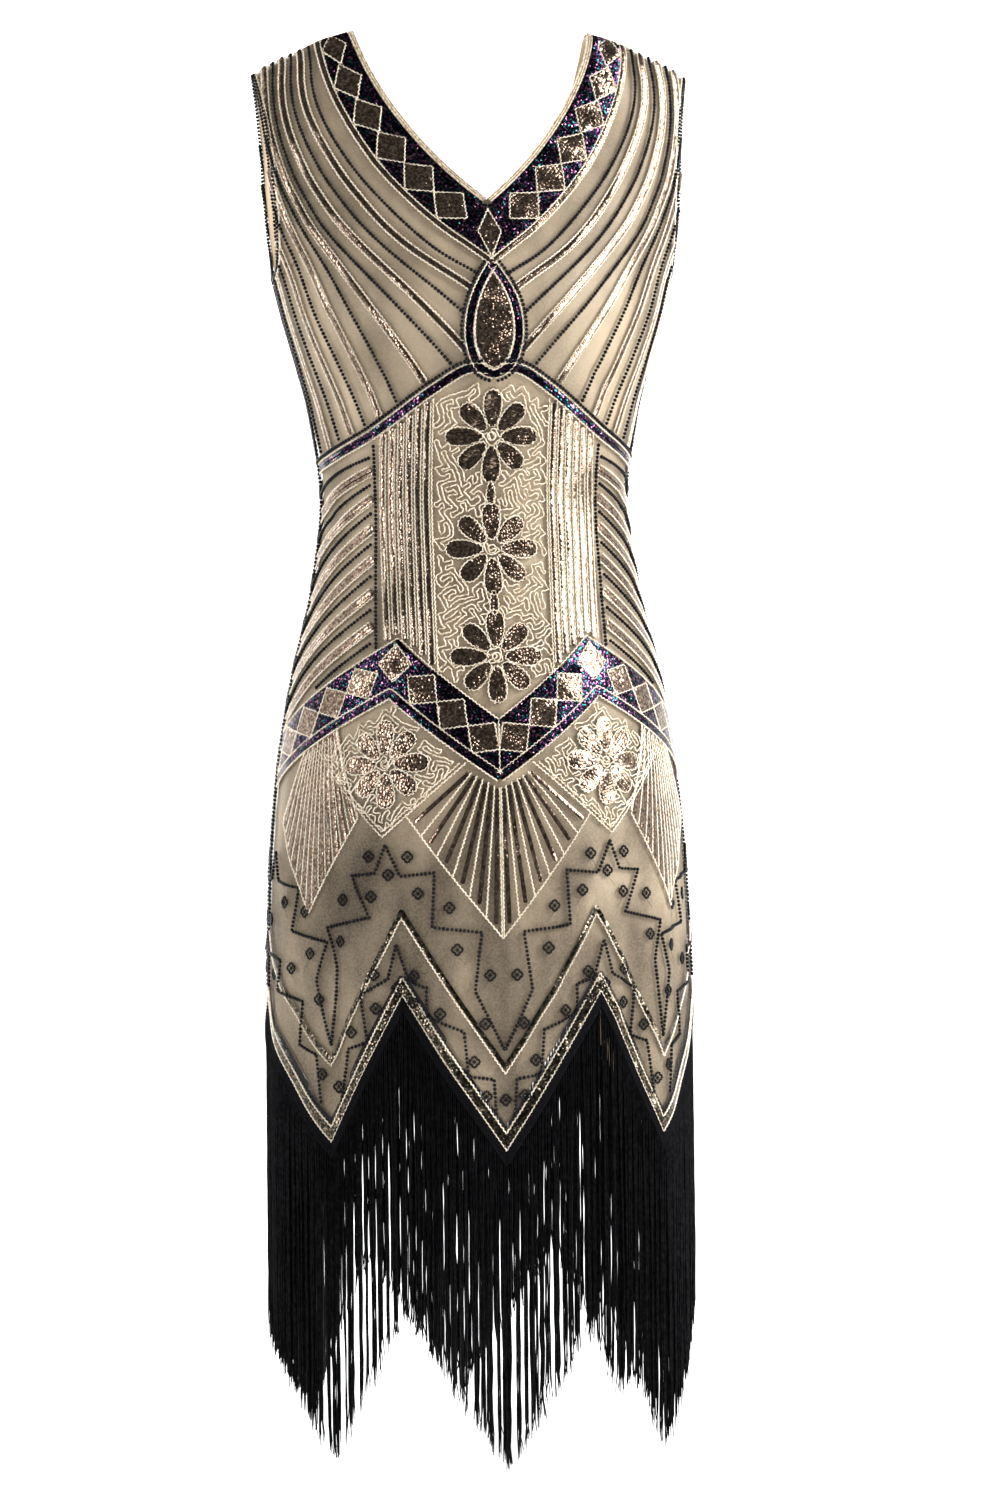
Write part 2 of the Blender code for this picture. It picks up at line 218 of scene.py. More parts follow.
def place(side, line, lift=0.0):
    """3-D points and normals of (angle, drop) rows, lifted off the cloth."""
    angle, drop = np.moveaxis(np.asarray(line, float), -1, 0)
    normal = face_normal(side, angle, drop)
    lift = np.asarray(lift, float)[..., None]
    return surface(side, angle, drop) + normal * lift, normal


def run_of(side, line):
    """How far along a line on the cloth each of its rows lies."""
    points = surface(side, line[:, 0], line[:, 1])
    return np.concatenate([[0], np.cumsum(np.linalg.norm(np.diff(points, axis=0), axis=1))])


def along_line(side, line, step, phase=0.0):
    """The line again at equal steps of cloth."""
    line = np.asarray(line, float)
    run = run_of(side, line)
    count = max(int(round(run[-1] / step)), 1)
    at = (np.arange(count + 1 if phase == 0 else count) + phase) * run[-1] / count
    return np.stack([np.interp(at, run, line[:, 0]), np.interp(at, run, line[:, 1])], -1)


def straight(*corners, pieces=24):
    """A line with straight legs between corners, in (angle, drop)."""
    corners = np.array(corners, float)
    t = np.linspace(0, 1, pieces + 1)[:, None]
    legs = [a + (b - a) * t[:-1] for a, b in zip(corners, corners[1:])]
    return np.concatenate([*legs, corners[-1:]])


def curved(*points, pieces=16):
    """A smooth line through points."""
    p = np.array(points, float)
    p = np.concatenate([[2 * p[0] - p[1]], p, [2 * p[-1] - p[-2]]])
    t = np.linspace(0, 1, pieces + 1)[:, None]
    rows = []
    for k in range(1, len(p) - 2):
        a, b, c, d = p[k - 1 : k + 3]
        rows.append(0.5 * (2 * b + (c - a) * t + (2 * a - 5 * b + 4 * c - d) * t**2 + (3 * b - a - 3 * c + d) * t**3))
        if k < len(p) - 3:
            rows[-1] = rows[-1][:-1]
    return np.concatenate(rows)


def jacobian(side, line):
    """Change of the 3-D point for one degree and for one millimetre of drop."""
    angle, drop = np.moveaxis(np.asarray(line, float), -1, 0)
    round_it = (surface(side, angle + 0.25, drop) - surface(side, angle - 0.25, drop)) / 0.5
    down = surface(side, angle, drop + 0.5) - surface(side, angle, drop - 0.5)
    return round_it, down


def shift(side, line, vector):
    """The (angle, drop) rows moved by 3-D vectors that lie in the cloth."""
    a, d = jacobian(side, line)
    aa, ad, dd = (a * a).sum(-1), (a * d).sum(-1), (d * d).sum(-1)
    va, vd = (vector * a).sum(-1), (vector * d).sum(-1)
    det = aa * dd - ad * ad
    return line + np.stack([(va * dd - vd * ad) / det, (vd * aa - va * ad) / det], -1)


def sideways(side, line):
    """3-D directions in the cloth at right angles to the line: towards -X of a line that runs down."""
    points, normal = place(side, line)
    direction = unit(np.cross(unit(np.gradient(points, axis=0)), normal))
    return direction if side == FRONT else -direction


def beside(side, line, distance):
    """The line moved sideways over the cloth."""
    line = np.asarray(line, float)
    steps = max(int(math.ceil(abs(distance) / 3)), 1)
    direction = sideways(side, line)
    for _ in range(steps):
        line = shift(side, line, direction * distance / steps)
    return line


def mirrored(line):
    return np.asarray(line, float) * (-1, 1)


def ranked(side, centre, across, down):
    """(angle, drop) of local places: across and down in millimetres of cloth from a centre."""
    centre = np.array([centre], float)
    a, d = (np.linalg.norm(v[0]) for v in jacobian(side, centre))
    return centre + np.stack([np.asarray(across) / a, np.asarray(down) / d], -1)


# ---------------------------------------------------------------- stitches

BEAD, BRONZE, BLACK, GOLD, BRAID = "beads", "bronze_sequins", "black_sequins", "gold_thread", "neck_braid"
DARK = "dark_sequins"
BEAD_PITCH, BEAD_SIZE = 3.2, 1.68  # the size is the radius
SEQUIN_PITCH, SEQUIN_ROW, SEQUIN_SIZE = 1.9, 2.4, 1.95
THREAD_STEP, THREAD_RADIUS, THREAD_WIGGLE = 1.7, 0.78, 0.5
LEAN, LEAN_DRIFT, ROLL_DRIFT, LEVELLED = 0.2, 0.2, 0.13, 0.75  # sequins lean up a little, in radians
STRIP_NOISE, FILL_NOISE = 0.03, 0.06
STRIP_WAVE, FILL_WAVE = 24.0, 8.0
STRIP = 5.4  # a sequin strip between its two threads
rng = np.random.default_rng(1926)


def drift(points, wave):
    """A smooth value from -1 to 1 that wanders over the dress."""
    x, y, z = (points / wave).T
    first = np.sin(1.3 * x + 2.1 * z + 0.7) + np.sin(2.3 * x - 1.7 * z + y)
    return (first + np.sin(0.9 * y + 1.1 * z - 1.9 * x)) / 3


class Work:
    """All that is sewn to one side of the dress, gathered before it is made into pieces."""

    def __init__(self, side):
        self.side = side
        self.bits = {}  # kind: list of (centres, normals, headings, sizes)
        self.threads = {}  # kind: list of (points, normals, radius)

    def put(self, kind, rows, ahead, size, lift=0.8, loose=None):
        """Beads or sequins at rows, each headed for its place in ahead. Sequins lean, the looser the more."""
        if len(rows) == 0:
            return
        centre, normal = place(self.side, rows, lift)
        heading = unit(place(self.side, ahead, lift)[0] - centre)
        heading = unit(heading - normal * (heading * normal).sum(-1, keepdims=True))
        tilted = normal
        if loose is not None:
            wave = STRIP_WAVE if loose == STRIP_NOISE else FILL_WAVE
            lean = LEAN + LEAN_DRIFT * drift(centre, wave) + rng.normal(0, loose, len(centre))
            lean = lean - LEVELLED * np.arcsin(np.clip(normal[:, 2], -1, 1))
            roll = ROLL_DRIFT * drift(centre[:, [2, 0, 1]], wave * 0.8) + rng.normal(0, loose, len(centre))
            up = unit(np.array([0, 0, 1.0]) - normal * normal[:, 2:])
            tilted = unit(normal + up * lean[:, None] + np.cross(normal, up) * roll[:, None])
        sizes = np.broadcast_to(size, len(centre))
        self.bits.setdefault(kind, []).append((centre, tilted, heading, sizes))

    def beads(self, line, pitch=BEAD_PITCH, size=BEAD_SIZE, lift=1.0):
        rows = along_line(self.side, line, pitch, phase=0.5)
        self.put(BEAD, rows, rows + heading_of(rows), size * rng.uniform(0.9, 1.08, len(rows)), lift)

    def sequins(self, line, kind=BRONZE):
        rows = along_line(self.side, line, SEQUIN_PITCH, phase=0.5)
        loose = STRIP_NOISE if kind == BRONZE else FILL_NOISE
        self.put(kind, rows, rows + heading_of(rows), SEQUIN_SIZE, loose=loose)

    def thread(self, line, kind=GOLD, radius=THREAD_RADIUS, wiggle=THREAD_WIGGLE, step=THREAD_STEP, lift=0.7):
        rows = along_line(self.side, line, step)
        if len(rows) < 3:
            return
        points, normal = place(self.side, rows, lift)
        across = unit(np.cross(np.gradient(points, axis=0), normal))
        sway = wiggle * np.where(np.arange(len(rows)) % 2, 1.0, -1.0) * rng.uniform(0.6, 1.15, len(rows))
        self.threads.setdefault(kind, []).append((points + across * sway[:, None], normal, radius))

    def strip(self, line, width=STRIP):
        self.sequins(line)
        self.thread(beside(self.side, line, width / 2))
        self.thread(beside(self.side, line, -width / 2))

    def black_band(self, line, width=5.6):
        for off in (-0.22, 0.22):
            self.sequins(beside(self.side, line, off * width), BLACK)
        for off in (width / 2 + 0.9, -width / 2 - 0.9):
            self.thread(beside(self.side, line, off))

    def fill(self, kind, polygon, to_cloth, heading=0.0, keep=None, margin=0.9):
        """Sequins in overlapping rows inside a polygon of local (across, down) millimetres."""
        rows, ahead = scale_rows(polygon, heading, keep, margin)
        if len(rows):
            self.put(kind, to_cloth(rows), to_cloth(ahead), SEQUIN_SIZE, loose=FILL_NOISE)


def heading_of(rows):
    """Steps along a line of places."""
    return np.gradient(rows, axis=0) * 0.5 if len(rows) > 1 else np.array([[0.0, 1.0]])


def inside(points, polygon):
    """Which points lie inside a polygon."""
    x, y = points[:, 0], points[:, 1]
    hit = np.zeros(len(points), bool)
    for (x0, y0), (x1, y1) in zip(polygon, np.roll(polygon, -1, axis=0)):
        crosses = (y0 > y) != (y1 > y)
        hit ^= crosses & (x < (x1 - x0) * (y - y0) / np.where(y1 == y0, 1, y1 - y0) + x0)
    return hit


def closed(shape, pieces=6):
    """The outline of a shape with pieces steps in each edge."""
    legs = [np.linspace(a, b, pieces + 1)[:-1] for a, b in zip(shape, np.roll(shape, -1, axis=0))]
    return np.concatenate([*legs, shape[:1]])


def gap_to(points, polygon):
    """Distance of points to a polygon's outline."""
    best = np.full(len(points), 1e9)
    for a, b in zip(polygon, np.roll(polygon, -1, axis=0)):
        run = b - a
        t = np.clip(((points - a) @ run) / max(run @ run, 1e-9), 0, 1)[:, None]
        best = np.minimum(best, np.linalg.norm(points - a - t * run, axis=1))
    return best


def clear_of(shapes, points, gap=1.2):
    """Which points lie outside all the shapes and at least the gap away."""
    return ~np.any([inside(points, shape) | (gap_to(points, shape) < gap) for shape in shapes], axis=0)


def scale_rows(polygon, heading, keep, margin):
    """Places in staggered rows inside the polygon, and the places just ahead of them."""
    polygon = np.asarray(polygon, float)
    along = np.array([math.cos(heading), math.sin(heading)])
    across = np.array([-along[1], along[0]])
    u, v = polygon @ along, polygon @ across
    us = np.arange(u.min(), u.max() + SEQUIN_PITCH, SEQUIN_PITCH)
    vs = np.arange(v.min(), v.max() + SEQUIN_ROW, SEQUIN_ROW)
    gu, gv = np.meshgrid(us, vs)
    gu = gu + (np.arange(len(vs)) % 2)[:, None] * SEQUIN_PITCH / 2
    points = gu.reshape(-1, 1) * along + gv.reshape(-1, 1) * across
    good = inside(points, polygon) & (gap_to(points, polygon) > margin)
    if keep is not None:
        good &= keep(points)
    points = points[good]
    return points, points + along * 0.5


class Band:
    """A strip of cloth along a line: u runs along it and v across it as in beside, in millimetres."""

    def __init__(self, side, line, low, high):
        self.line = along_line(side, line, 3.0)
        self.run = run_of(side, self.line)
        self.length = self.run[-1]
        self.offsets = np.linspace(low, high, max(int((high - low) / 4), 2))
        self.table = np.array([beside(side, self.line, off) for off in self.offsets])

    def __call__(self, rows):
        u, v = np.asarray(rows, float).T
        i = np.clip(np.searchsorted(self.run, u) - 1, 0, len(self.run) - 2)
        s = ((u - self.run[i]) / (self.run[i + 1] - self.run[i]))[:, None]
        j = np.clip(np.searchsorted(self.offsets, v) - 1, 0, len(self.offsets) - 2)
        t = ((v - self.offsets[j]) / (self.offsets[j + 1] - self.offsets[j]))[:, None]
        near = self.table[j, i] * (1 - s) + self.table[j, i + 1] * s
        far = self.table[j + 1, i] * (1 - s) + self.table[j + 1, i + 1] * s
        return near * (1 - t) + far * t


# ---------------------------------------------------------------- the design, for the +X half of a side

V_EXTRA = NECKLINE[BACK][3][1] - NECKLINE[FRONT][3][1]


def deepened(side, line):
    """The design moves down round the deeper V of the back."""
    line = np.array(line, float)
    if side == BACK:
        near = np.exp(-((line[:, 0] / 48) ** 2))
        line[:, 1] += V_EXTRA * ease(40, 150, line[:, 1]) * (1 - ease(300, 500, line[:, 1])) * near
    return line


def by_rows(rows):
    """(angle, drop) of (across, drop) rows, with across in millimetres of the front view."""
    across, drop = np.asarray(rows, float).T
    return np.stack([np.degrees(np.arcsin(np.clip(across / form_column("half_width", drop), -1, 1))), drop], -1)


def on_form(side, rows):
    """Where the design's (across, drop) rows lie on a side."""
    return deepened(side, by_rows(rows))


def upright(across, top, foot, count):
    """A line at a fixed distance from the centre."""
    return by_rows([(across, drop) for drop in np.linspace(top, foot, count)])


CHEVRON = ((2, 271), (9, 271.5), (20, 286), (36, 309), (50, 324), (70, 337), (90, 345))
DROP_OUTLINE = ((0, 196), (6, 206), (11.5, 219), (14.6, 234), (14.8, 248), (11, 261), (5, 268), (0, 270))
DROP_BLACK = ((0, 191), (8.5, 204.5), (15.2, 219), (18.6, 234), (18.6, 250), (14, 265), (7, 272.5), (0, 275))

BlackBand = namedtuple("BlackBand", "width to_beads")  # to_beads is from its middle to the bead line beside it
DROP_BAND, CHEVRON_BAND = BlackBand(5.2, 5.9), BlackBand(5.6, 6.0)

# Bodice rays: each from the shoulder or armhole down to its foot, all (angle, drop). None is on the shoulder seam
Ray = namedtuple("Ray", "kind points")
RAYS = (
    Ray(BEAD, ((46.5, None), (43, 62), (32, 120), (17, 174), (3.6, 200))),
    Ray(BRONZE, ((49.8, None), (47, 62), (36.5, 121), (24, 172), (6.5, 209.5))),
    Ray(BEAD, ((53.2, None), (51, 64), (42, 122), (29.5, 176), (8.6, 230))),
    Ray(BRONZE, ((57, None), (55, 66), (47, 124), (35.5, 178), (9.2, 256))),
    Ray(BEAD, ((61, None), (58.5, 70), (51.5, 128), (41.5, 182), (11.5, 274))),
    Ray(BRONZE, ((65.5, None), (62, 74), (55, 132), (45.5, 190), (21, 288))),
    Ray(BEAD, ((63.8, 84), (58, 136), (50, 196), (32, 303))),
    Ray(BRONZE, ((63.2, 112), (61, 148), (55, 214), (39.5, 313))),
    Ray(BEAD, ((65.5, 142), (64, 178), (60, 232), (46, 321))),
    Ray(BRONZE, ((70.5, 167), (69, 200), (65, 250), (53.5, 327))),
    Ray(BEAD, ((75.5, 182), (74, 214), (70.5, 262), (61, 332))),
    Ray(BRONZE, ((81, 190), (80, 226), (77, 276), (69.5, 336))),
    Ray(BEAD, ((86, 194), (85.5, 240), (84, 286), (79, 340))),
)

COLUMN_ACROSS = (46.0, 84.5)  # the columns of sequin strips beside the centre panel
COLUMNS = 6
BAND_TOP = ((0, 540), (31.7, 477), (90, 556))
BAND_LINE = ((0, 563), (32.3, 497), (90, 575))
BAND_LOW = ((0, 584), (33, 519.5), (90, 594))
BAND_REACH = 21  # from the middle of the band to either edge, with some to spare
LEG_LOZENGES = (3.5, 5.0)
LOZENGE_HALVES = (14.6, 13.6)
FLOWER_DROPS = (322, 409, 492)
DIAMOND = ((33, 524), (57, 567), (33, 630), (9.5, 573))
DIAMOND_FLOWER = (33, 574)
SIDE_LINES = ((337, 366), (358, 403), (380, 441), (404, 474), (429, 505), (455, 536), (481, 566))
FAN_FEET = ((26, 614), (0, 708))
FAN_HEAD = ((9.5, 576), (0, 591))
FAN_SPOKES = 6
SIDE_FAN_HEAD = (51, 58, 65)
SIDE_FAN_FEET = ((41, 616), (58, 691), (75, 622))
SIDE_FAN_SPOKES = 13
STEPS = (
    (0, 794), (7.5, 748), (5.5, 703), (18.5, 699), (18, 657), (27.5, 660), (32, 636), (35, 658), (42, 660),
    (36.5, 692), (50.5, 701), (46.5, 732), (49, 792), (54, 742), (50.5, 712), (66, 706), (63, 672), (76, 668),
    (80, 646), (84, 668), (90, 668),
)
LOW_STEPS = (
    (2.5, 844), (3, 816), (9.5, 813), (10.5, 779), (20, 767), (20, 745), (25, 741), (28.6, 712), (31, 739),
    (39, 752), (37, 788), (43, 794), (45.5, 836),
)
SIDE_STEPS = ((52.5, 838), (54, 800), (62, 794), (60, 760), (74, 754), (72, 730), (84, 726), (90, 712))
FOILS = (
    (37, 645), (25.5, 645), (31, 659), (45, 679), (36, 676), (22.5, 673), (14, 684), (45.5, 711), (57, 722),
    (12, 716), (35, 736), (23.5, 736), (28.5, 746), (3.5, 736), (24, 757), (34.5, 762), (16.5, 765), (5, 773),
    (42, 781), (8, 802), (5, 829), (46.5, 824), (53, 757), (66, 735), (78, 742), (70, 684), (84, 700), (60, 690),
    (52, 815), (0, 832),
)
ZIGZAG_RISE = 60.0
SKIRT_BEAD = 1.62


def half_columns(work, side, both):
    low, high = COLUMN_ACROSS
    for k in range(COLUMNS):
        line = upright(low + (high - low) * (k + 0.5) / COLUMNS, 270, 560, 200)
        line = line[(line[:, 1] > read(CHEVRON, line[:, 0]) + 6) & (line[:, 1] < read(BAND_TOP, line[:, 0]) - 3)]
        both(work.strip, deepened(side, line), COLUMN_STRIP)


def side_panel(work, side, both):
    """Bead lines that fall towards the side seam, with a broad sequin strip between each two."""
    edge = curved((44.5, 327), (45, 372), (42.5, 440), (39.5, 486))
    both(work.beads, edge)
    lines = np.array(SIDE_LINES, float)
    between = (lines[1:] + lines[:-1]) / 2  # the middles of the strips
    for inner, outer in (*lines, *between, (494, 583)):
        start = np.interp(inner, edge[:, 1], edge[:, 0]) + 1.8
        line = curved((start, inner), ((start + 90) / 2, inner + (outer - inner) * 0.45), (90, outer))
        line = line[(line[:, 1] > read(CHEVRON, line[:, 0]) + 6) & (line[:, 1] < read(BAND_TOP, line[:, 0]) - 4)]
        if len(line) < 4:
            continue
        if inner in lines[:, 0]:
            both(work.beads, line)
        else:
            for off in (-1.3, 1.3):
                both(work.sequins, beside(side, line, off))
            for off in (-3.9, 3.9):
                both(work.thread, beside(side, line, off))


def petal(length, width, start=7.0):
    """Outline of a petal along +u from the flower's centre."""
    t = np.linspace(0, math.pi, 13)
    u = start + (length - start) * (1 - np.cos(t)) / 2
    v = width / 2 * np.sin(t) ** 0.85 * (0.62 + 0.5 * (1 - np.cos(t)) / 2)
    return np.concatenate([np.stack([u, v], -1), np.stack([u, -v], -1)[-2:0:-1]])


def turned(points, angle):
    """Points turned about their origin."""
    c, s = math.cos(angle), math.sin(angle)
    return points @ np.array([[c, s], [-s, c]])


PETALS, PETAL_WIDTH, RING_RADIUS = 8, 16.0, 3.2


def flower(work, to_cloth, reach, start_angle=-math.pi / 2):
    """Sequinned petals, each outlined in gold thread, round a small ring. Returns the outlines."""
    outlines = []
    for k in range(PETALS):
        angle = start_angle + 2 * math.pi * k / PETALS
        length = reach * (1.0 if k % 2 == 0 else 0.94)
        outline = turned(petal(length, PETAL_WIDTH), angle)
        outlines.append(outline)
        work.fill(BRONZE, outline, to_cloth, heading=angle, margin=0.7)
        work.thread(to_cloth(closed(outline, 1)))
    ring = np.concatenate([turned(np.array([(RING_RADIUS, 0.0)]), t) for t in np.linspace(0, 2 * math.pi, 13)])
    work.thread(to_cloth(ring), wiggle=0.15)
    return outlines


def vermicelli(work, region, avoid, to_cloth, cell=6.3, clear=1.8, slant=0.45):
    """One thread that wanders evenly over the ground: it follows a random tree all the way round."""
    region = turned(np.asarray(region, float), slant)
    low, high = region.min(axis=0), region.max(axis=0)
    counts = np.maximum(((high - low) / cell).astype(int) + 1, 1)
    grid = np.stack(np.meshgrid(*(np.arange(n) for n in counts), indexing="ij"), -1).reshape(-1, 2)
    middles = low + cell * (grid + 0.5)
    good = inside(middles, region) & (gap_to(middles, region) > clear)
    good &= clear_of([turned(shape, slant) for shape in avoid], middles, clear)
    cells = {tuple(at) for at in grid[good].tolist()}
    left = set(cells)
    joined = set()
    while left:
        start = min(left)
        stack = [start]
        left.remove(start)
        while stack:
            here = stack[-1]
            steps = [(here[0] + a, here[1] + b) for a, b in ((1, 0), (-1, 0), (0, 1), (0, -1))]
            steps = [step for step in steps if step in left]
            if not steps:
                stack.pop()
                continue
            there = steps[rng.integers(len(steps))]
            joined |= {(here, there), (there, here)}
            left.remove(there)
            stack.append(there)
    links = {}

    def link(a, b):
        links.setdefault(a, []).append(b)
        links.setdefault(b, []).append(a)

    for i, j in cells:
        for a, b, near in ((1, 0, ((1, 0), (1, 1))), (0, 1, ((0, 1), (1, 1)))):
            corners = [(2 * i + di, 2 * j + dj) for di, dj in near]
            if ((i, j), (i + a, j + b)) in joined:
                for corner in corners:
                    link(corner, (corner[0] + a, corner[1] + b))
            else:
                link(*corners)
        for a, b, near in ((-1, 0, ((0, 0), (0, 1))), (0, -1, ((0, 0), (1, 0)))):
            if ((i, j), (i + a, j + b)) not in joined:
                link(*[(2 * i + di, 2 * j + dj) for di, dj in near])
    seen = set()
    for start in sorted(links):
        if start in seen:
            continue
        loop, here, came = [start], start, None
        seen.add(start)
        while True:
            onward = [p for p in links[here] if p != came and (p not in seen or p == start)]
            if not onward or onward[0] == start:
                break
            came, here = here, onward[0]
            seen.add(here)
            loop.append(here)
        if len(loop) < 7:
            continue
        points = low + (np.array([*loop, loop[0]], float) + 0.5) * cell / 2
        x, y = points.T
        swirl = np.stack([np.sin(y / 4.3 + 0.6 * np.sin(x / 6)), np.sin(x / 4.7 + 1.3 + 0.5 * np.sin(y / 5))], -1)
        points = points + 1.1 * swirl + rng.uniform(-0.7, 0.7, points.shape)
        points[-1] = points[0]
        work.thread(to_cloth(turned(curved(*points, pieces=4), -slant)), radius=0.76, wiggle=0.22)


def build_design(work):
    side = work.side

    def both(stitch, line, *more):
        stitch(line, *more)
        stitch(mirrored(line), *more)

    def both_fill(kind, polygon, to_cloth, heading=0.0, keep=None, margin=0.9):
        work.fill(kind, polygon, to_cloth, heading, keep, margin)
        work.fill(kind, polygon, lambda rows: mirrored(to_cloth(rows)), heading, keep, margin)

    neck_band(work, both, both_fill)
    # The drop under the V, and the chevron that runs from its foot to the side seams
    outline = np.array(DROP_OUTLINE, float)
    whole = np.concatenate([outline, (outline * (-1, 1))[-2:0:-1]])
    work.fill(BRONZE, whole, partial(on_form, side), heading=math.pi / 2, margin=1.0)
    both(work.thread, on_form(side, curved(*DROP_OUTLINE)))
    black = on_form(side, curved(*DROP_BLACK))
    both(work.black_band, black, DROP_BAND.width)
    both(work.beads, beside(side, black, -DROP_BAND.to_beads))
    chevron = deepened(side, curved(*CHEVRON))
    both(work.black_band, chevron, CHEVRON_BAND.width)
    both(work.beads, beside(side, chevron, -CHEVRON_BAND.to_beads))
    for ray in RAYS:
        points = [(angle, seam_drop(angle) + 1.5 if drop is None else drop) for angle, drop in ray.points]
        line = deepened(side, curved(*points, pieces=90))
        line = line[line[:, 1] < read(chevron, line[:, 0]) - 8.5]
        if ray.kind == BEAD:
            both(work.beads, line)
        else:
            both(work.strip, line)
    half_columns(work, side, both)
    side_panel(work, side, both)
    both(work.beads, straight((88.4, 200), (88.4, 755)))
    centre_panel(work, side)
    lozenge_band(work, both, both_fill)
    diamonds_and_fans(work, both)
    skirt(work, both)


NECK_BINDING = 5.0
BAND_WIDTH = ((0.0, 31.0), (0.25, 36.0), (0.6, 41.0), (1.0, 43.0))
NECK_LOZENGES = 6
BRAID_ROWS = (0.8, 2.5, 4.2)
BRAID_STITCH = (0.85, 0.3, 1.6, 1.3)  # radius, wiggle, step and lift
NECK_STRIP, COLUMN_STRIP = 4.8, 4.7


def neck_band(work, both, both_fill):
    side = work.side
    edge = neckline(side, np.linspace(0.004, 1, 90))
    band = Band(side, edge, -48.0, 1.0)
    length = band.length
    share = np.linspace(0, 1, 60)
    foot = (0.0, edge[-1, 1] + 51.0)
    outer = band(np.stack([share * length, -read(BAND_WIDTH, share)], -1))
    border = np.concatenate([outer, straight(outer[-1], foot, pieces=8)[1:]])
    border = border[border[:, 0] > -0.01]
    both(work.strip, border, NECK_STRIP)
    pitch = length / NECK_LOZENGES
    shapes = []
    for k in range(NECK_LOZENGES):
        u = (k + 0.5) * pitch
        top, low = NECK_BINDING + 4.5, read(BAND_WIDTH, u / length) - 3.0
        middle, half = -(top + low) / 2, (low - top) / 2
        shape = np.array([(u - pitch / 2, middle), (u, middle + half), (u + pitch / 2, middle), (u, middle - half)])
        shapes.append(shape)
        both_fill(BRONZE, shape, band, 0.0)
        both(work.thread, band(closed(shape)))
    low = [(u, -read(BAND_WIDTH, u / length) + 2.6) for u in np.linspace(0, length, 20)]
    top = [(length, -NECK_BINDING - 0.8), (0, -NECK_BINDING - 0.8)]
    both_fill(BLACK, np.array(low + top), band, 0.0, partial(clear_of, shapes), 0.6)
    # The kite under the point of the V
    v = edge[-1, 1]
    kite = np.array([(0, v + 9), (9, v + 27), (0, v + 47), (-9, v + 27)])
    work.fill(BRONZE, kite, by_rows, heading=math.pi / 2)
    work.thread(by_rows(closed(kite, 8)))
    corner = band(np.array([(length, -NECK_BINDING - 1), (length, -38.0)]))
    xs = np.radians(corner[:, 0])
    reach = [(float(np.sin(x) * form_column("half_width", d)), float(d)) for x, d in zip(xs, corner[:, 1])]
    left = [(-x, d) for x, d in reversed(reach)]
    wedge = np.array([(0, v + 6), *reach, (0, v + 48), *left])
    work.fill(BLACK, wedge, by_rows, keep=partial(clear_of, [kite]), margin=0.5)
    for off in BRAID_ROWS:
        line = beside(side, edge, -off)
        line = line[line[:, 0] >= -0.2]
        both(work.thread, line, BRAID, *BRAID_STITCH)


def centre_panel(work, side):
    def to_cloth(rows, drop=0):
        return on_form(side, rows + np.array((0, drop)))

    avoid = []
    for drop in FLOWER_DROPS:
        shapes = flower(work, partial(to_cloth, drop=drop), 35.5)
        avoid += [shape + (0, drop) for shape in shapes]
    for high, low in zip(FLOWER_DROPS, FLOWER_DROPS[1:]):
        leaf = turned(petal(9.5, 7.5, -9.5), math.pi / 2) + (0, (high + low) / 2)
        work.fill(BRONZE, leaf, to_cloth, heading=math.pi / 2, margin=0.6)
        work.thread(to_cloth(closed(leaf, 1)))
        avoid.append(leaf)
    inner = COLUMN_ACROSS[0] - 1.5
    corner = 537 - inner * 0.75
    right = [(18, 283), (inner, 297), (inner, corner)]
    region = [(0, 279), *right, (0, 535), *[(-x, drop) for x, drop in reversed(right)]]
    vermicelli(work, region, avoid, to_cloth)
    for sign in (1, -1):
        work.thread(deepened(side, upright(sign * (inner + 0.6), 293, 506, 80)))


def leg_band(side, start, end, spare=0.35):
    """A band along a leg of the zigzag that runs on past both ends, and where the leg itself starts and ends."""
    start, end = np.array(start, float), np.array(end, float)
    extra = (end - start) * spare * 60 / (abs(end[0] - start[0]) + 30)
    band = Band(side, straight(start - extra, end + extra), -BAND_REACH, BAND_REACH)
    return band, np.interp(start[0], band.line[:, 0], band.run), np.interp(end[0], band.line[:, 0], band.run)


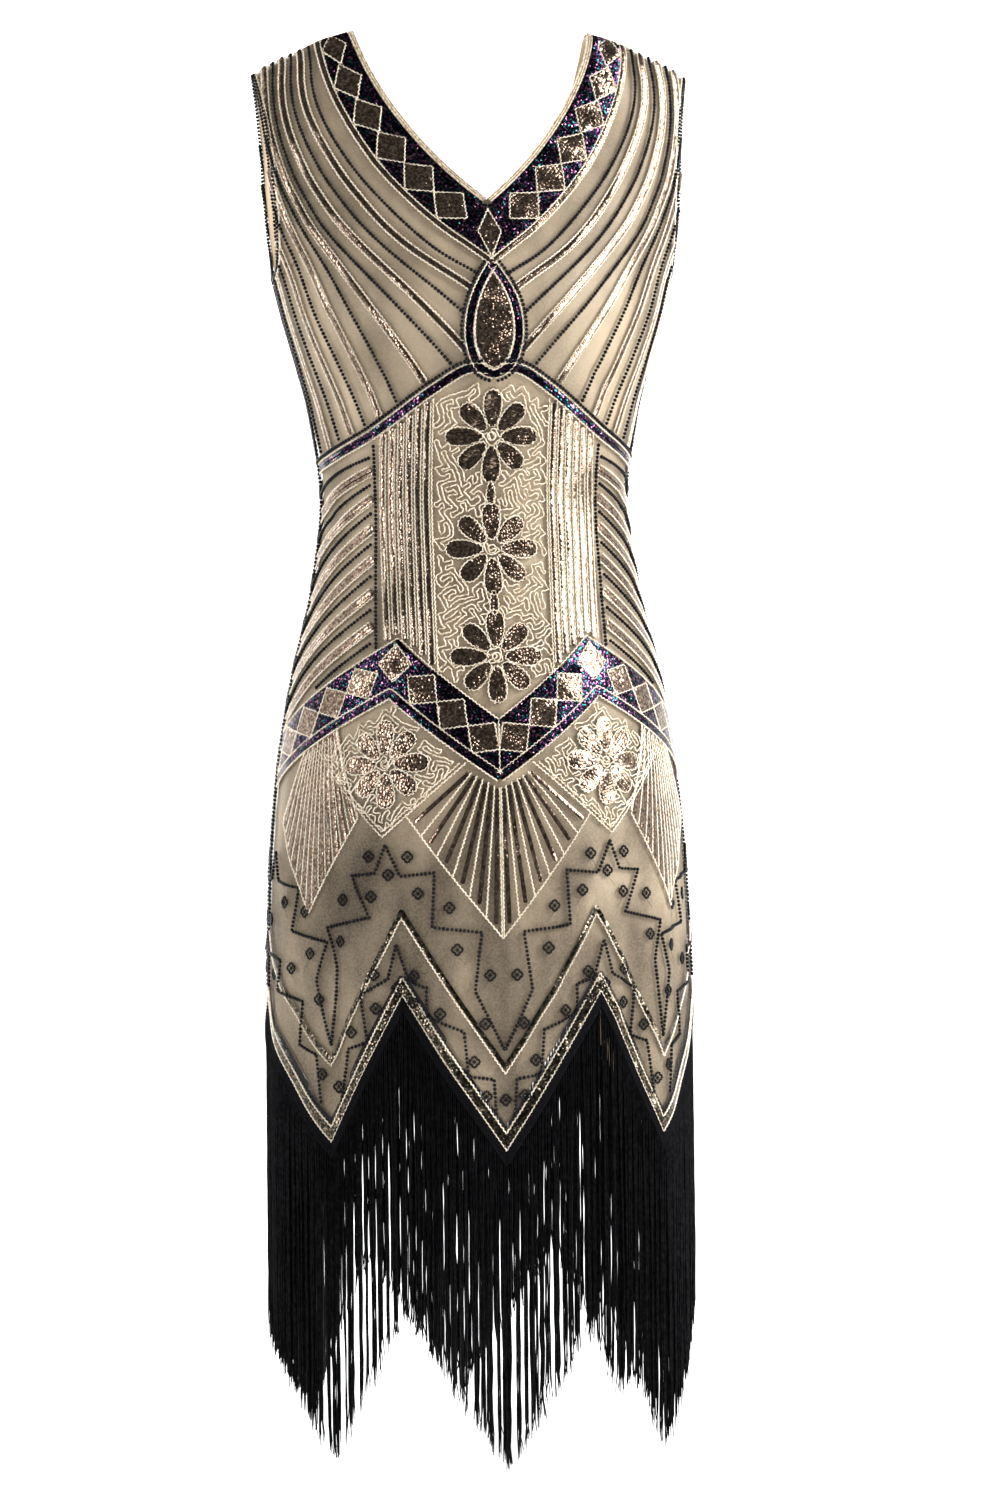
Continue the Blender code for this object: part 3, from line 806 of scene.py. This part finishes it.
def lozenge_band(work, both, both_fill):
    side = work.side
    both(work.thread, straight(*BAND_TOP))
    both(work.black_band, straight(*BAND_LOW))
    # The lozenge on the peak stands upright
    peak = np.array(BAND_LINE[1], float)
    tip = np.array([(0, -15.5), (13.5, 0), (0, 14.5), (-13.5, 0)])
    scale = [np.linalg.norm(v[0]) for v in jacobian(side, peak[None])]

    def to_peak(rows):
        return ranked(side, peak, rows[:, 0], rows[:, 1])

    both_fill(BRONZE, tip, to_peak)
    both(work.thread, to_peak(closed(tip)))
    for leg in (0, 1):
        band, first, last = leg_band(side, BAND_LINE[leg], BAND_LINE[leg + 1])
        pitch = (last - first) / LEG_LOZENGES[leg]
        half = LOZENGE_HALVES[leg]
        shapes = []
        for k in range(int(LEG_LOZENGES[leg])):
            u = first + (k + (0.5 if leg == 0 else 1.0)) * pitch
            shape = np.array([(u - pitch / 2, 0), (u, half), (u + pitch / 2, 0), (u, -half)])
            if leg == 1 and k == int(LEG_LOZENGES[leg]) - 1:
                shape = np.array([(u - pitch / 2, 0), (u - 1, half), (u - 1, -half)])
            shapes.append(shape)
            both_fill(BRONZE, shape, band)
            both(work.thread, band(closed(shape)))

        def ground(points, band=band, shapes=shapes, leg=leg):
            where = band(points)
            angle, drop = where.T
            low, high = ((0.4, peak[0]), (peak[0], SEAM_EDGE))[leg]
            clear = clear_of(shapes, points) & clear_of([tip], (where - peak) * scale)
            clear &= (drop > read(BAND_TOP, angle) + 1.4) & (drop < read(BAND_LOW, angle) - 5.0)
            return clear & (angle > low) & (angle < high)

        length = band.length
        box = np.array([(0, -BAND_REACH), (length, -BAND_REACH), (length, BAND_REACH), (0, BAND_REACH)])
        both_fill(BLACK, box, band, 0.0, ground, 0.0)
    work.thread(straight((0, 541), (0, 582)))


def diamonds_and_fans(work, both):
    side = work.side
    centre = np.array(DIAMOND_FLOWER, float)
    corners = np.array(DIAMOND, float) - centre
    scale = [np.linalg.norm(v[0]) for v in jacobian(side, centre[None])]

    def to_cloth(rows, sign):
        return ranked(side, centre, rows[:, 0], rows[:, 1]) * (sign, 1)

    for sign in (1, -1):
        place_on = partial(to_cloth, sign=sign)
        outlines = flower(work, place_on, 34.0, -math.pi / 2 + 0.06)
        vermicelli(work, corners * scale * 0.97 + np.array([0, 1.0]), outlines, place_on, 6.0, 1.7)
    for size in (1.0, 0.93):
        both(work.thread, straight(*(centre + corners * size)[1:]))
    # Centre fan
    ends = np.array((FAN_HEAD, FAN_FEET), float)

    def spoke(t):
        return ends[:, 0] + (ends[:, 1] - ends[:, 0]) * t

    for k in range(FAN_SPOKES):
        head, foot = spoke((k + 0.5) / FAN_SPOKES)
        both(work.sequins, straight(head + (0, 4), foot - (0.4, 4)))
        if k:
            head, foot = spoke(k / FAN_SPOKES)
            both(work.thread, straight(head + (0, 2), foot - (0, 1)))
    both(work.thread, straight(*FAN_FEET))
    both(work.thread, straight((0.25, 592), (0.25, 706)))
    # Side fans
    feet = np.array(SIDE_FAN_FEET, float)
    both(work.thread, straight(*feet))
    halves = (0, 0.5, 1)
    for k in range(2 * SIDE_FAN_SPOKES + 1):
        t = k / (2 * SIDE_FAN_SPOKES)
        head = np.interp(t, halves, SIDE_FAN_HEAD)
        foot = np.array([np.interp(t, halves, column) for column in feet.T])
        top = read(BAND_LOW, head) + 5.5 + (3 if k % 4 == 0 else 0)
        both(work.sequins if k % 2 else work.thread, straight((head, top), foot - (0, 2.5)))
    for k in (0, 2):
        head = SIDE_FAN_HEAD[k]
        both(work.thread, straight(feet[k], (head, read(BAND_LOW, head) + 4)))


HEM_CORNER_PARTS = (1.95, 2.05, 1.75, 1.4)  # how far a corner moves for each millimetre that its legs move
HEM_SEQUINS, HEM_THREADS = (2.7, 4.8), (0.4, 7.1)  # millimetres up from the hem


def hem_corners(up):
    """The hem's corners with its legs moved up so many millimetres, at right angles to each leg."""
    return np.array([(corner.angle, corner.drop - up * part) for corner, part in zip(HEM, HEM_CORNER_PARTS)])


def foil(work, place_at, size=3.8):
    """A four-leaved ring of small beads with four smaller ones in the middle."""
    side = work.side
    t = np.linspace(0, 2 * math.pi, 17)[:-1]
    reach = size * (0.78 + 0.3 * np.abs(np.cos(2 * t)))
    rows = ranked(side, place_at, reach * np.cos(t), reach * np.sin(t))
    work.put(BEAD, rows, rows + 0.2, 1.1)
    rows = ranked(side, place_at, [0.9, -0.9, 0, 0], [0, 0, 0.9, -0.9])
    work.put(BEAD, rows, rows + 0.2, 0.8)


def skirt(work, both):
    side = work.side
    for steps in (STEPS, LOW_STEPS, SIDE_STEPS):
        both(work.beads, straight(*steps, pieces=12), BEAD_PITCH, SKIRT_BEAD)
    both(work.sequins, straight(*(hem_corners(HEM_SEQUINS[0]) - (0, ZIGZAG_RISE))), DARK)
    both(work.thread, straight(*(hem_corners(0.0) - (0, ZIGZAG_RISE))))
    for angle, drop in FOILS:
        for sign in ((1, -1) if angle > 1 else (1,)):
            foil(work, (sign * angle, drop))
            if angle > 1:
                lean = 2.2 if int(angle) % 2 else -2.2
                stem = straight((sign * angle, drop + 4), (sign * (angle + lean), drop + 12), pieces=6)
                work.thread(stem, "stem", 0.16, 0.1, 3.0, 0.5)


# ---------------------------------------------------------------- materials


def shader_of(name, colour, roughness, metallic=0.0, **sockets):
    made = bpy.data.materials.new(name)
    made.use_nodes = True
    shader = made.node_tree.nodes["Principled BSDF"]
    shader.inputs["Base Color"].default_value = (*colour, 1.0)
    shader.inputs["Roughness"].default_value = roughness
    shader.inputs["Metallic"].default_value = metallic
    for socket, value in sockets.items():
        shader.inputs[socket.replace("_", " ")].default_value = value
    return made, made.node_tree, shader


def node(tree, kind, inputs=(), **settings):
    made = tree.nodes.new(kind)
    for name, value in settings.items():
        setattr(made, name, value)
    for socket, value in dict(inputs).items():
        if isinstance(value, bpy.types.NodeSocket):
            tree.links.new(value, made.inputs[socket])
        else:
            made.inputs[socket].default_value = value
    return made


def ramp(tree, factor, *stops):
    made = node(tree, "ShaderNodeValToRGB", {"Fac": factor})
    band = made.color_ramp
    while len(band.elements) < len(stops):
        band.elements.new(0.5)
    for element, (at, colour) in zip(band.elements, stops):
        element.position = at
        element.color = (*colour, 1.0)
    return made.outputs["Color"]


def cloth_coords(tree):
    return node(tree, "ShaderNodeTexCoord").outputs["Object"]


def noise(tree, scale, detail=1.0, vector=None):
    rows = {"Vector": vector or cloth_coords(tree), "Scale": scale, "Detail": detail}
    return node(tree, "ShaderNodeTexNoise", rows).outputs["Fac"]


def mapped(tree, value, low, high, to_low, to_high):
    rows = {"Value": value, "From Min": low, "From Max": high, "To Min": to_low, "To Max": to_high}
    return node(tree, "ShaderNodeMapRange", rows).outputs["Result"]


def tinted(name, noise_row, stops, colour, roughness, metallic=0.0, **sockets):
    """A material whose colour runs through the stops with a fine noise of (scale, detail)."""
    made, tree, shader = shader_of(name, colour, roughness, metallic, **sockets)
    tree.links.new(ramp(tree, noise(tree, *noise_row), *stops), shader.inputs["Base Color"])
    return made, tree, shader


def lining_material():
    stops = ((0.3, (0.54, 0.425, 0.285)), (0.7, (0.65, 0.52, 0.36)))
    made, tree, shader = tinted(
        "lining_cloth", (14.0, 3.0), stops, (0.62, 0.49, 0.34), 0.55, Sheen_Weight=0.15, Sheen_Roughness=0.4
    )
    bump = node(tree, "ShaderNodeBump", {"Height": noise(tree, 900.0, 2.0), "Strength": 0.12, "Distance": 0.0004})
    tree.links.new(bump.outputs["Normal"], shader.inputs["Normal"])
    return made


def net_material(name, upper, lower, colour):
    """A fine dark net: closer and darker in the skirt, almost bare in the bodice."""
    made, tree, shader = shader_of(name, colour, 0.7, Specular_IOR_Level=0.1)
    height = node(tree, "ShaderNodeSeparateXYZ", {"Vector": cloth_coords(tree)}).outputs["Z"]
    down = mapped(tree, height, -0.52, -0.66, upper, lower)
    # Vertically stretched streaks in the net's cover: the gathered net's uneven cover, and painted shade of soft
    # folds in the skirt
    stretch = node(tree, "ShaderNodeMapping", {"Vector": cloth_coords(tree), "Scale": (1.0, 1.0, 0.4)})
    fold_shade_streaks = noise(tree, 24.0, 4.0, stretch.outputs["Vector"])
    uneven_and_fold_shade = mapped(tree, fold_shade_streaks, 0.3, 0.7, 0.5, 1.45)
    mesh = mapped(tree, noise(tree, 600.0), 0.35, 0.65, 0.85, 1.15)
    uneven_and_fold_shade = node(tree, "ShaderNodeMath", {0: mesh, 1: uneven_and_fold_shade}, operation="MULTIPLY").outputs["Value"]
    cover = node(tree, "ShaderNodeMath", {0: down, 1: uneven_and_fold_shade}, operation="MULTIPLY").outputs["Value"]
    tree.links.new(cover, shader.inputs["Alpha"])
    return made


def sewn_materials():
    """Materials by kind. The film of the black sequins throws back violet, pink and a little green."""
    made = {
        BEAD: shader_of("black_beads", (0.004, 0.0035, 0.005), 0.14, Specular_IOR_Level=0.14),
        "heading": shader_of("fringe_heading", (0.003, 0.003, 0.004), 0.7, Specular_IOR_Level=0.05),
        "stem": shader_of("stem_thread", (0.05, 0.04, 0.04), 0.5),
    }
    stops = ((0.4, (0.0015, 0.0015, 0.002)), (0.64, (0.007, 0.007, 0.008)))
    made["fringe"] = tinted("fringe_yarn", (300.0,), stops, (0.003, 0.003, 0.004), 0.5, Specular_IOR_Level=0.04)
    stops = ((0.33, (0.34, 0.25, 0.16)), (0.5, (0.70, 0.56, 0.40)), (0.7, (0.95, 0.85, 0.69)))
    made[BRAID] = tinted(BRAID, (500.0,), stops, (0.66, 0.52, 0.36), 0.45, 0.2)
    stops = ((0.32, (0.50, 0.37, 0.24)), (0.44, (0.90, 0.77, 0.58)), (0.66, (1.0, 0.93, 0.80)))
    made[GOLD] = tinted(GOLD, (520.0,), stops, (0.84, 0.72, 0.55), 0.4, 0.2)
    stops = (
        (0.27, (0.02, 0.10, 0.11)), (0.34, (0.005, 0.005, 0.008)), (0.57, (0.004, 0.003, 0.006)),
        (0.64, (0.07, 0.025, 0.09)), (0.72, (0.28, 0.10, 0.22)), (0.8, (0.2, 0.17, 0.05)),
    )
    made[BLACK] = tinted(BLACK, (520.0, 0.0), stops, (0.004, 0.003, 0.006), 0.17, 1.0)
    for name, *colours in (
        (BRONZE, (0.085, 0.058, 0.042), (0.17, 0.12, 0.088), (0.30, 0.23, 0.175)),
        (DARK, (0.015, 0.017, 0.013), (0.055, 0.048, 0.036), (0.20, 0.155, 0.11)),
    ):
        made[name] = tinted(name, (480.0, 0.0), tuple(zip((0.32, 0.5, 0.68), colours)), colours[1], 0.16, 1.0)
    return {kind: rows[0] for kind, rows in made.items()}


# ---------------------------------------------------------------- pieces


def template_bead():
    """An icosahedron."""
    g = (1 + 5**0.5) / 2
    verts = [
        (-1, g, 0), (1, g, 0), (-1, -g, 0), (1, -g, 0), (0, -1, g), (0, 1, g), (0, -1, -g), (0, 1, -g),
        (g, 0, -1), (g, 0, 1), (-g, 0, -1), (-g, 0, 1),
    ]
    faces = [
        (0, 11, 5), (0, 5, 1), (0, 1, 7), (0, 7, 10), (0, 10, 11), (1, 5, 9), (5, 11, 4), (11, 10, 2), (10, 7, 6),
        (7, 1, 8), (3, 9, 4), (3, 4, 2), (3, 2, 6), (3, 6, 8), (3, 8, 9), (4, 9, 5), (2, 4, 11), (6, 2, 10),
        (8, 6, 7), (9, 8, 1),
    ]
    return unit(np.array(verts, float)), np.array(faces)


def template_sequin(corners=6):
    """A domed disc, open below."""
    turn = np.arange(corners) * 2 * math.pi / corners
    rim = np.stack([np.cos(turn), np.sin(turn), np.zeros(corners)], -1)
    faces = [(0, k + 1, (k + 1) % corners + 1) for k in range(corners)]
    return np.concatenate([[(0, 0, 0.16)], rim]), np.array(faces)


def instances(template, bits):
    """Vertices and faces of copies of the template."""
    verts, faces = template
    centre, up, ahead, size = (np.concatenate(parts) for parts in zip(*bits))
    ahead = unit(ahead - up * (ahead * up).sum(-1, keepdims=True))
    frames = np.stack([ahead, np.cross(up, ahead), up], axis=1)
    points = centre[:, None] + np.einsum("vk,nkx->nvx", verts, frames) * size[:, None, None]
    numbers = np.arange(len(centre))[:, None, None] * len(verts) + faces[None]
    return points.reshape(-1, 3), numbers.reshape(-1, 3)


def tubes(threads, corners=3):
    """Vertices and faces of tubes along polylines."""
    points, faces, count = [], [], 0
    turn = np.arange(corners) * 2 * math.pi / corners + math.pi / 2
    for line, normal, radius in threads:
        along = unit(np.gradient(line, axis=0))
        across = unit(np.cross(along, normal))
        up = np.cross(across, along)
        ring = across[:, None] * np.cos(turn)[None, :, None] + up[:, None] * np.sin(turn)[None, :, None]
        width = np.broadcast_to(np.reshape(radius, (-1, 1, 1)), (len(line), 1, 1))
        points.append((line[:, None] + ring * width).reshape(-1, 3))
        i = np.arange(len(line) - 1)[:, None] * corners
        j = np.arange(corners)[None]
        k = (j + 1) % corners
        quads = np.stack([i + j, i + k, i + k + corners, i + j + corners], -1).reshape(-1, 4) + count
        faces.append(quads)
        count += len(line) * corners
    return np.concatenate(points), np.concatenate(faces)


def make_piece(name, parts, nodes=()):
    """One mesh from parts of (vertices in millimetres, faces, material), riding on the dress."""
    mesh = bpy.data.meshes.new(name)
    verts, faces, index, count = [], [], [], 0
    for number, (points, rows, material) in enumerate(parts):
        mesh.materials.append(material)
        verts.append(points * MM)
        faces += (rows + count).tolist()
        index += [number] * len(rows)
        count += len(points)
    mesh.from_pydata(np.concatenate(verts).tolist(), [], faces)
    mesh.polygons.foreach_set("material_index", index)
    mesh.polygons.foreach_set("use_smooth", [True] * len(faces))
    mesh.update()
    obj = bpy.data.objects.new(name, mesh)
    bpy.context.scene.collection.objects.link(obj)
    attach(obj, "root")
    if nodes:
        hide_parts(*nodes)
    return obj


COLUMN_COUNT, YOKE_ROWS, BODY_ROWS = 84, 61, 150
HEM_SHADE_CLOTH = 18.0  # so far above the hem the net is close and near-black: the net's own, and painted shade of the see-through gap under the lining's hem; the streaks thin it in places


def cloth_rows(side, hem_rise):
    """The grid of one whole side of the dress in two halves: yoke rows above the V, body rows below."""
    share = np.linspace(0, 1, COLUMN_COUNT // 2 + 1)
    rows = []
    for s in np.linspace(0, 1, YOKE_ROWS) ** 1.2:
        inner, outer = neckline(side, s), armhole(s)
        angle = inner[0] + (outer[0] - inner[0]) * share
        rows.append((angle, seam_drop(angle) if s == 0 else inner[1] + (outer[1] - inner[1]) * ease(0, 1, share)))
    angle = 90 * share
    first = rows[-1][1]
    last = hem_drop(angle) - hem_rise * (1 + 0.16 * np.sin(angle / 9.0 + 1.0))
    for down in np.linspace(0, 1, BODY_ROWS)[1:]:
        rows.append((angle, first + (last - first) * down))
    return np.swapaxes(rows, 0, 1)


def cloth_piece(name, side, lift, material, nodes, hem_rise=0.0, wall=0.0, hem_shade_material=None):
    """A whole side of cloth, as a sheet or with a wall of its own thickness."""
    angles, drops = cloth_rows(side, hem_rise)
    rows, columns = angles.shape
    size = rows * columns
    i = (np.arange(rows - 1)[:, None] * columns + np.arange(columns - 1)[None]).reshape(-1)
    # Faces near the hem take the near-black net: denser net, and painted shade seen through it under the lining's hem
    hem_shade_rows = drops.reshape(-1)[i + columns] > hem_drop(angles.reshape(-1)[i + columns]) - HEM_SHADE_CLOTH
    ring = np.concatenate([
        np.arange(columns), np.arange(1, rows) * columns + columns - 1,
        (rows - 1) * columns + np.arange(columns - 2, -1, -1), np.arange(rows - 2, 0, -1) * columns,
    ])
    following = np.roll(ring, -1)
    points, faces, count = [], [], 0
    for sign in (-1, 1):
        a = sign * angles
        place_at, normal = surface(side, a, drops), face_normal(side, a, drops)
        quads = np.stack([i, i + columns, i + columns + 1, i + 1], -1)
        rim = np.stack([ring, following, following + size, ring + size], -1)
        if (sign > 0) == (side == BACK):
            quads, rim = quads[:, ::-1], rim[:, ::-1]
        points.append((place_at + normal * lift).reshape(-1, 3))
        faces.append(quads + count)
        if wall:
            points.append((place_at + normal * (lift - wall)).reshape(-1, 3))
            faces += [quads[:, ::-1] + count + size, rim + count]
            count += size
        count += size
    obj = make_piece(name, [(np.concatenate(points), np.concatenate(faces), material)], nodes)
    if hem_shade_material:
        obj.data.materials.append(hem_shade_material)
        obj.data.polygons.foreach_set("material_index", np.tile(hem_shade_rows, 2).astype(int))
    weld(obj)
    return obj


def weld(obj):
    """Join the two halves along the centre line."""
    bm = bmesh.new()
    bm.from_mesh(obj.data)
    bmesh.ops.remove_doubles(bm, verts=bm.verts, dist=0.00002)
    bmesh.ops.recalc_face_normals(bm, faces=bm.faces)
    bm.to_mesh(obj.data)
    bm.free()


# ---------------------------------------------------------------- fringe

FRINGE_LENGTH = 250.0
YARN_PITCH, YARN_RADIUS, YARN_JOINTS = 1.6, 0.76, 16
YARN_LAYERS = (-1.9, 0.1)
HEADING_ROWS, HEADING_RADIUS = (0.8, 3.0, 5.4, 7.6, 9.8), 1.45
TUFT = (2.6, 8.6)  # least and greatest width of the strands that hang together


def fringe_piece(side, materials):
    """A knitted heading under the hem and the long yarn that hangs from it, each strand a little its own."""
    grains = np.random.default_rng(5 if side == FRONT else 6)
    line = straight(*HEM)
    level = np.stack([np.linspace(-SEAM_EDGE, SEAM_EDGE, 400), np.full(400, HEM[0].drop)], -1)
    threads = []
    t = np.linspace(0, 1, YARN_JOINTS)
    edges = np.concatenate([[0], np.cumsum(grains.uniform(*TUFT, 130))])
    lean = grains.normal(0, 0.9, len(edges))
    for lift in YARN_LAYERS:
        roots = along_line(side, level, YARN_PITCH)
        at = np.arange(len(roots)) * YARN_PITCH + (YARN_PITCH / 2 if lift < 0 else 0)
        tuft = np.clip(np.searchsorted(edges, at, "right") - 1, 0, len(edges) - 2)
        pulls = (edges[tuft] + edges[tuft + 1]) / 2 - at
        sways = lean[tuft]
        roots[:, 0] = np.clip(roots[:, 0] + grains.uniform(-0.1, 0.1, len(roots)), -SEAM_EDGE, SEAM_EDGE)
        heads, normals = place(side, np.stack([roots[:, 0], hem_drop(roots[:, 0]) + 1.0], -1), lift)
        for head, normal, pull, sway in zip(heads, normals, pulls, sways):
            length = FRINGE_LENGTH - grains.uniform(0, 8) - (grains.uniform(0, 26) if grains.random() < 0.1 else 0)
            wave = grains.normal(0, 0.22) * np.sin(2 * math.pi * (t * 2.3 + grains.random()))
            wave = wave + grains.normal(0, 0.2) * np.sin(2 * math.pi * (t * 4.6 + grains.random()))
            curl = ease(0.93, 1.0, t) * grains.normal(0, 1.3)
            along = pull * 0.62 * ease(0, 0.5, t) + (sway + grains.normal(0, 0.3)) * t + wave * (0.3 + t) + curl
            depth = grains.normal(0, 0.9) * t + wave[::-1] * 0.5 * t
            tangent = np.array([-normal[1], normal[0], 0.0])
            out = np.array([normal[0], normal[1], 0.0])
            points = head + tangent * along[:, None] + out * depth[:, None]
            points[:, 2] -= t * length
            twist = YARN_RADIUS * (1 + 0.12 * np.where(np.arange(YARN_JOINTS) % 2, 1, -1))
            twist = twist * np.interp(t, (0, 0.97, 1), (1, 1, 0.4))
            threads.append((points, np.repeat(normal[None], YARN_JOINTS, axis=0), twist))
    rows = along_line(side, np.concatenate([mirrored(line)[:0:-1], line]), 2.2)
    rim = []
    for drop in HEADING_ROWS:
        wave = np.where(np.arange(len(rows)) % 2, 0.25, -0.25)
        points, normal = place(side, rows + (0, drop), 0.2)
        rim.append((points + normal * wave[:, None], normal, HEADING_RADIUS))
    parts = [(*tubes(threads), materials["fringe"]), (*tubes(rim, 4), materials["heading"])]
    make_piece(side + "_yarn_fringe", parts, [side + "_fringe"])


# ---------------------------------------------------------------- stage, light and camera


Light = namedtuple("Light", "name where aim size watts")
LIGHTS = (
    Light("key", (2.57, -1.39, 1.07), (0, 0, -0.45), (1.5, 2.2), 172),
    Light("fill", (-2.4, -2.5, 0.45), (0, 0, -0.35), (0.4, 0.9), 20),
    Light("sparkle", (0.9, -2.6, 1.2), (0, 0, -0.4), (0.28, 0.45), 9),
    Light("back_wall", (0, 3.3, 3.0), (0, 5.6, -0.2), (4.2, 1.2), 240),
    Light("left_edge", (-2.9, -1.1, 0.7), (0, 0, -0.25), (0.25, 1.0), 17),
    Light("rim", (-1.8, 1.6, 0.8), (0, 0, -0.4), (0.8, 1.4), 20),
)


def area_light(light):
    data = bpy.data.lights.new(light.name, "AREA")
    data.shape = "RECTANGLE"
    data.size, data.size_y = light.size
    data.energy = light.watts
    obj = bpy.data.objects.new(light.name, data)
    obj.location = light.where
    obj.rotation_euler = (Vector(light.aim) - Vector(light.where)).to_track_quat("-Z", "Y").to_euler()
    bpy.context.scene.collection.objects.link(obj)


FLOOR = -1.135
FLOOR_RADIUS, CURVE, WALL_HEIGHT = 4.4, 1.4, 6.0


def build_stage():
    """A pale sheet: a round floor that curves up to a wall behind and beside the dress."""
    bend = np.linspace(0.1, math.pi / 2, 12)
    profile = [(FLOOR_RADIUS, 0.0)]
    profile += [(FLOOR_RADIUS + CURVE * math.sin(t), CURVE * (1 - math.cos(t))) for t in bend]
    profile.append((FLOOR_RADIUS + CURVE, WALL_HEIGHT))
    count = 72
    turn = np.arange(count) * 2 * math.pi / count
    verts = [(r * math.cos(t), r * math.sin(t), FLOOR + z) for r, z in profile for t in turn]
    faces = [tuple(range(count))]
    for row in range(len(profile) - 1):
        for k in range(-6, count // 2 + 6):
            near, far = row * count + k % count, row * count + (k + 1) % count
            faces.append((far, near, near + count, far + count))
    mesh = bpy.data.meshes.new("sweep")
    mesh.from_pydata(verts, [], faces)
    for face in mesh.polygons:
        face.use_smooth = len(face.vertices) == 4
    glow = {"Emission_Color": (1.0, 1.0, 1.0, 1.0), "Emission_Strength": 0.35}
    mesh.materials.append(shader_of("sweep_paper", (0.92, 0.92, 0.92), 0.9, **glow)[0])
    obj = bpy.data.objects.new("sweep", mesh)
    bpy.context.scene.collection.objects.link(obj)
    world = bpy.data.worlds.new("studio")
    world.use_nodes = True
    background = world.node_tree.nodes["Background"].inputs
    background["Color"].default_value = (1.0, 1.0, 1.0, 1.0)
    background["Strength"].default_value = 0.2
    bpy.context.scene.world = world
    for light in LIGHTS:
        area_light(light)
    bpy.context.scene.view_settings.view_transform = "Standard"


CAMERA_AZIMUTH, CAMERA_DISTANCE, CAMERA_HEIGHT, CAMERA_ROLL = -8.0, 3.0, -0.42, 0.6
AIM_HEIGHT, AIM_RIGHT = -0.5696, 0.0184


def build_camera():
    turn = math.radians(CAMERA_AZIMUTH)
    right = Vector((math.cos(turn), math.sin(turn), 0))
    ahead = Vector((-math.sin(turn), math.cos(turn), 0))
    data = bpy.data.cameras.new("camera")
    data.lens = 90
    data.sensor_width = 36
    camera = bpy.data.objects.new("camera", data)
    camera.location = -ahead * CAMERA_DISTANCE + Vector((0, 0, CAMERA_HEIGHT))
    aim = right * AIM_RIGHT + Vector((0, 0, AIM_HEIGHT))
    look = (aim - camera.location).to_track_quat("-Z", "Y")
    camera.rotation_mode = "QUATERNION"
    camera.rotation_quaternion = look @ Matrix.Rotation(math.radians(-CAMERA_ROLL), 3, "Z").to_quaternion()
    bpy.context.scene.collection.objects.link(camera)
    bpy.context.scene.camera = camera


# ---------------------------------------------------------------- the dress


def main():
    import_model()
    materials = sewn_materials()
    net = net_material("sheer_net", 0.31, 0.53, (0.07, 0.055, 0.04))
    # Near-black, almost opaque net along the hem: denser net, and painted shade seen through it under the lining's
    # hem
    hem_net_painted_shade = net_material("hem_net_painted_shade", 0.92, 0.92, (0.012, 0.011, 0.012))
    lining = lining_material()
    bead, disc = template_bead(), template_sequin()
    for side in SIDES:
        name, nodes = side + "_lining_cloth", [side + "_lining"]
        sheet = cloth_piece(name, side, -LINING_DEPTH, lining, nodes, LINING_RISE, LINING_WALL)
        nodes = [side + "_bodice", side + "_skirt"]
        sheet = cloth_piece(side + "_net", side, 0.0, net, nodes, hem_shade_material=hem_net_painted_shade)
        work = Work(side)
        build_design(work)
        hem = Work(side)
        for sign in (1, -1):
            for up in HEM_SEQUINS:
                hem.sequins(straight(*(hem_corners(up) * (sign, 1))), DARK)
            for up in HEM_THREADS:
                hem.thread(straight(*(hem_corners(up) * (sign, 1))), radius=0.85)
        make_piece(side + "_beads", [(*instances(bead, work.bits[BEAD]), materials[BEAD])])
        for kind, kinds in ((BRONZE, (BRONZE, DARK)), (BLACK, (BLACK,))):
            parts = [(*instances(disc, work.bits[each]), materials[each]) for each in kinds]
            make_piece(side + "_" + kind, parts)
        parts = [(*tubes(work.threads[each]), materials[each]) for each in (GOLD, "stem")]
        make_piece(side + "_gold_thread", parts)
        parts = [(*tubes(work.threads[BRAID]), materials[BRAID])]
        make_piece(side + "_neck_braid", parts, [side + "_neck_binding"])
        parts = [(*instances(disc, hem.bits[DARK]), materials[DARK]), (*tubes(hem.threads[GOLD]), materials[GOLD])]
        make_piece(side + "_hem_trim", parts, [side + "_hem_border"])
        fringe_piece(side, materials)
    for name, sign in (("left", 1), ("right", -1)):
        bits, threads = [], []
        for side in SIDES:
            ring = Work(side)
            edge = armhole(np.linspace(0, 1, 60)) * (sign, 1)
            ring.beads(edge + (sign * 0.75, 0), 2.9, 1.4, -0.4)
            ring.beads(edge - (sign * 1.2, 0), 3.1, 1.4)
            ring.thread(edge - (sign * 2.6, 0))
            bits += ring.bits[BEAD]
            threads += ring.threads[GOLD]
        parts = [(*instances(bead, bits), materials[BEAD]), (*tubes(threads), materials[GOLD])]
        make_piece(name + "_armhole_beads", parts, [name + "_armhole_binding"])
    build_stage()
    build_camera()


main()
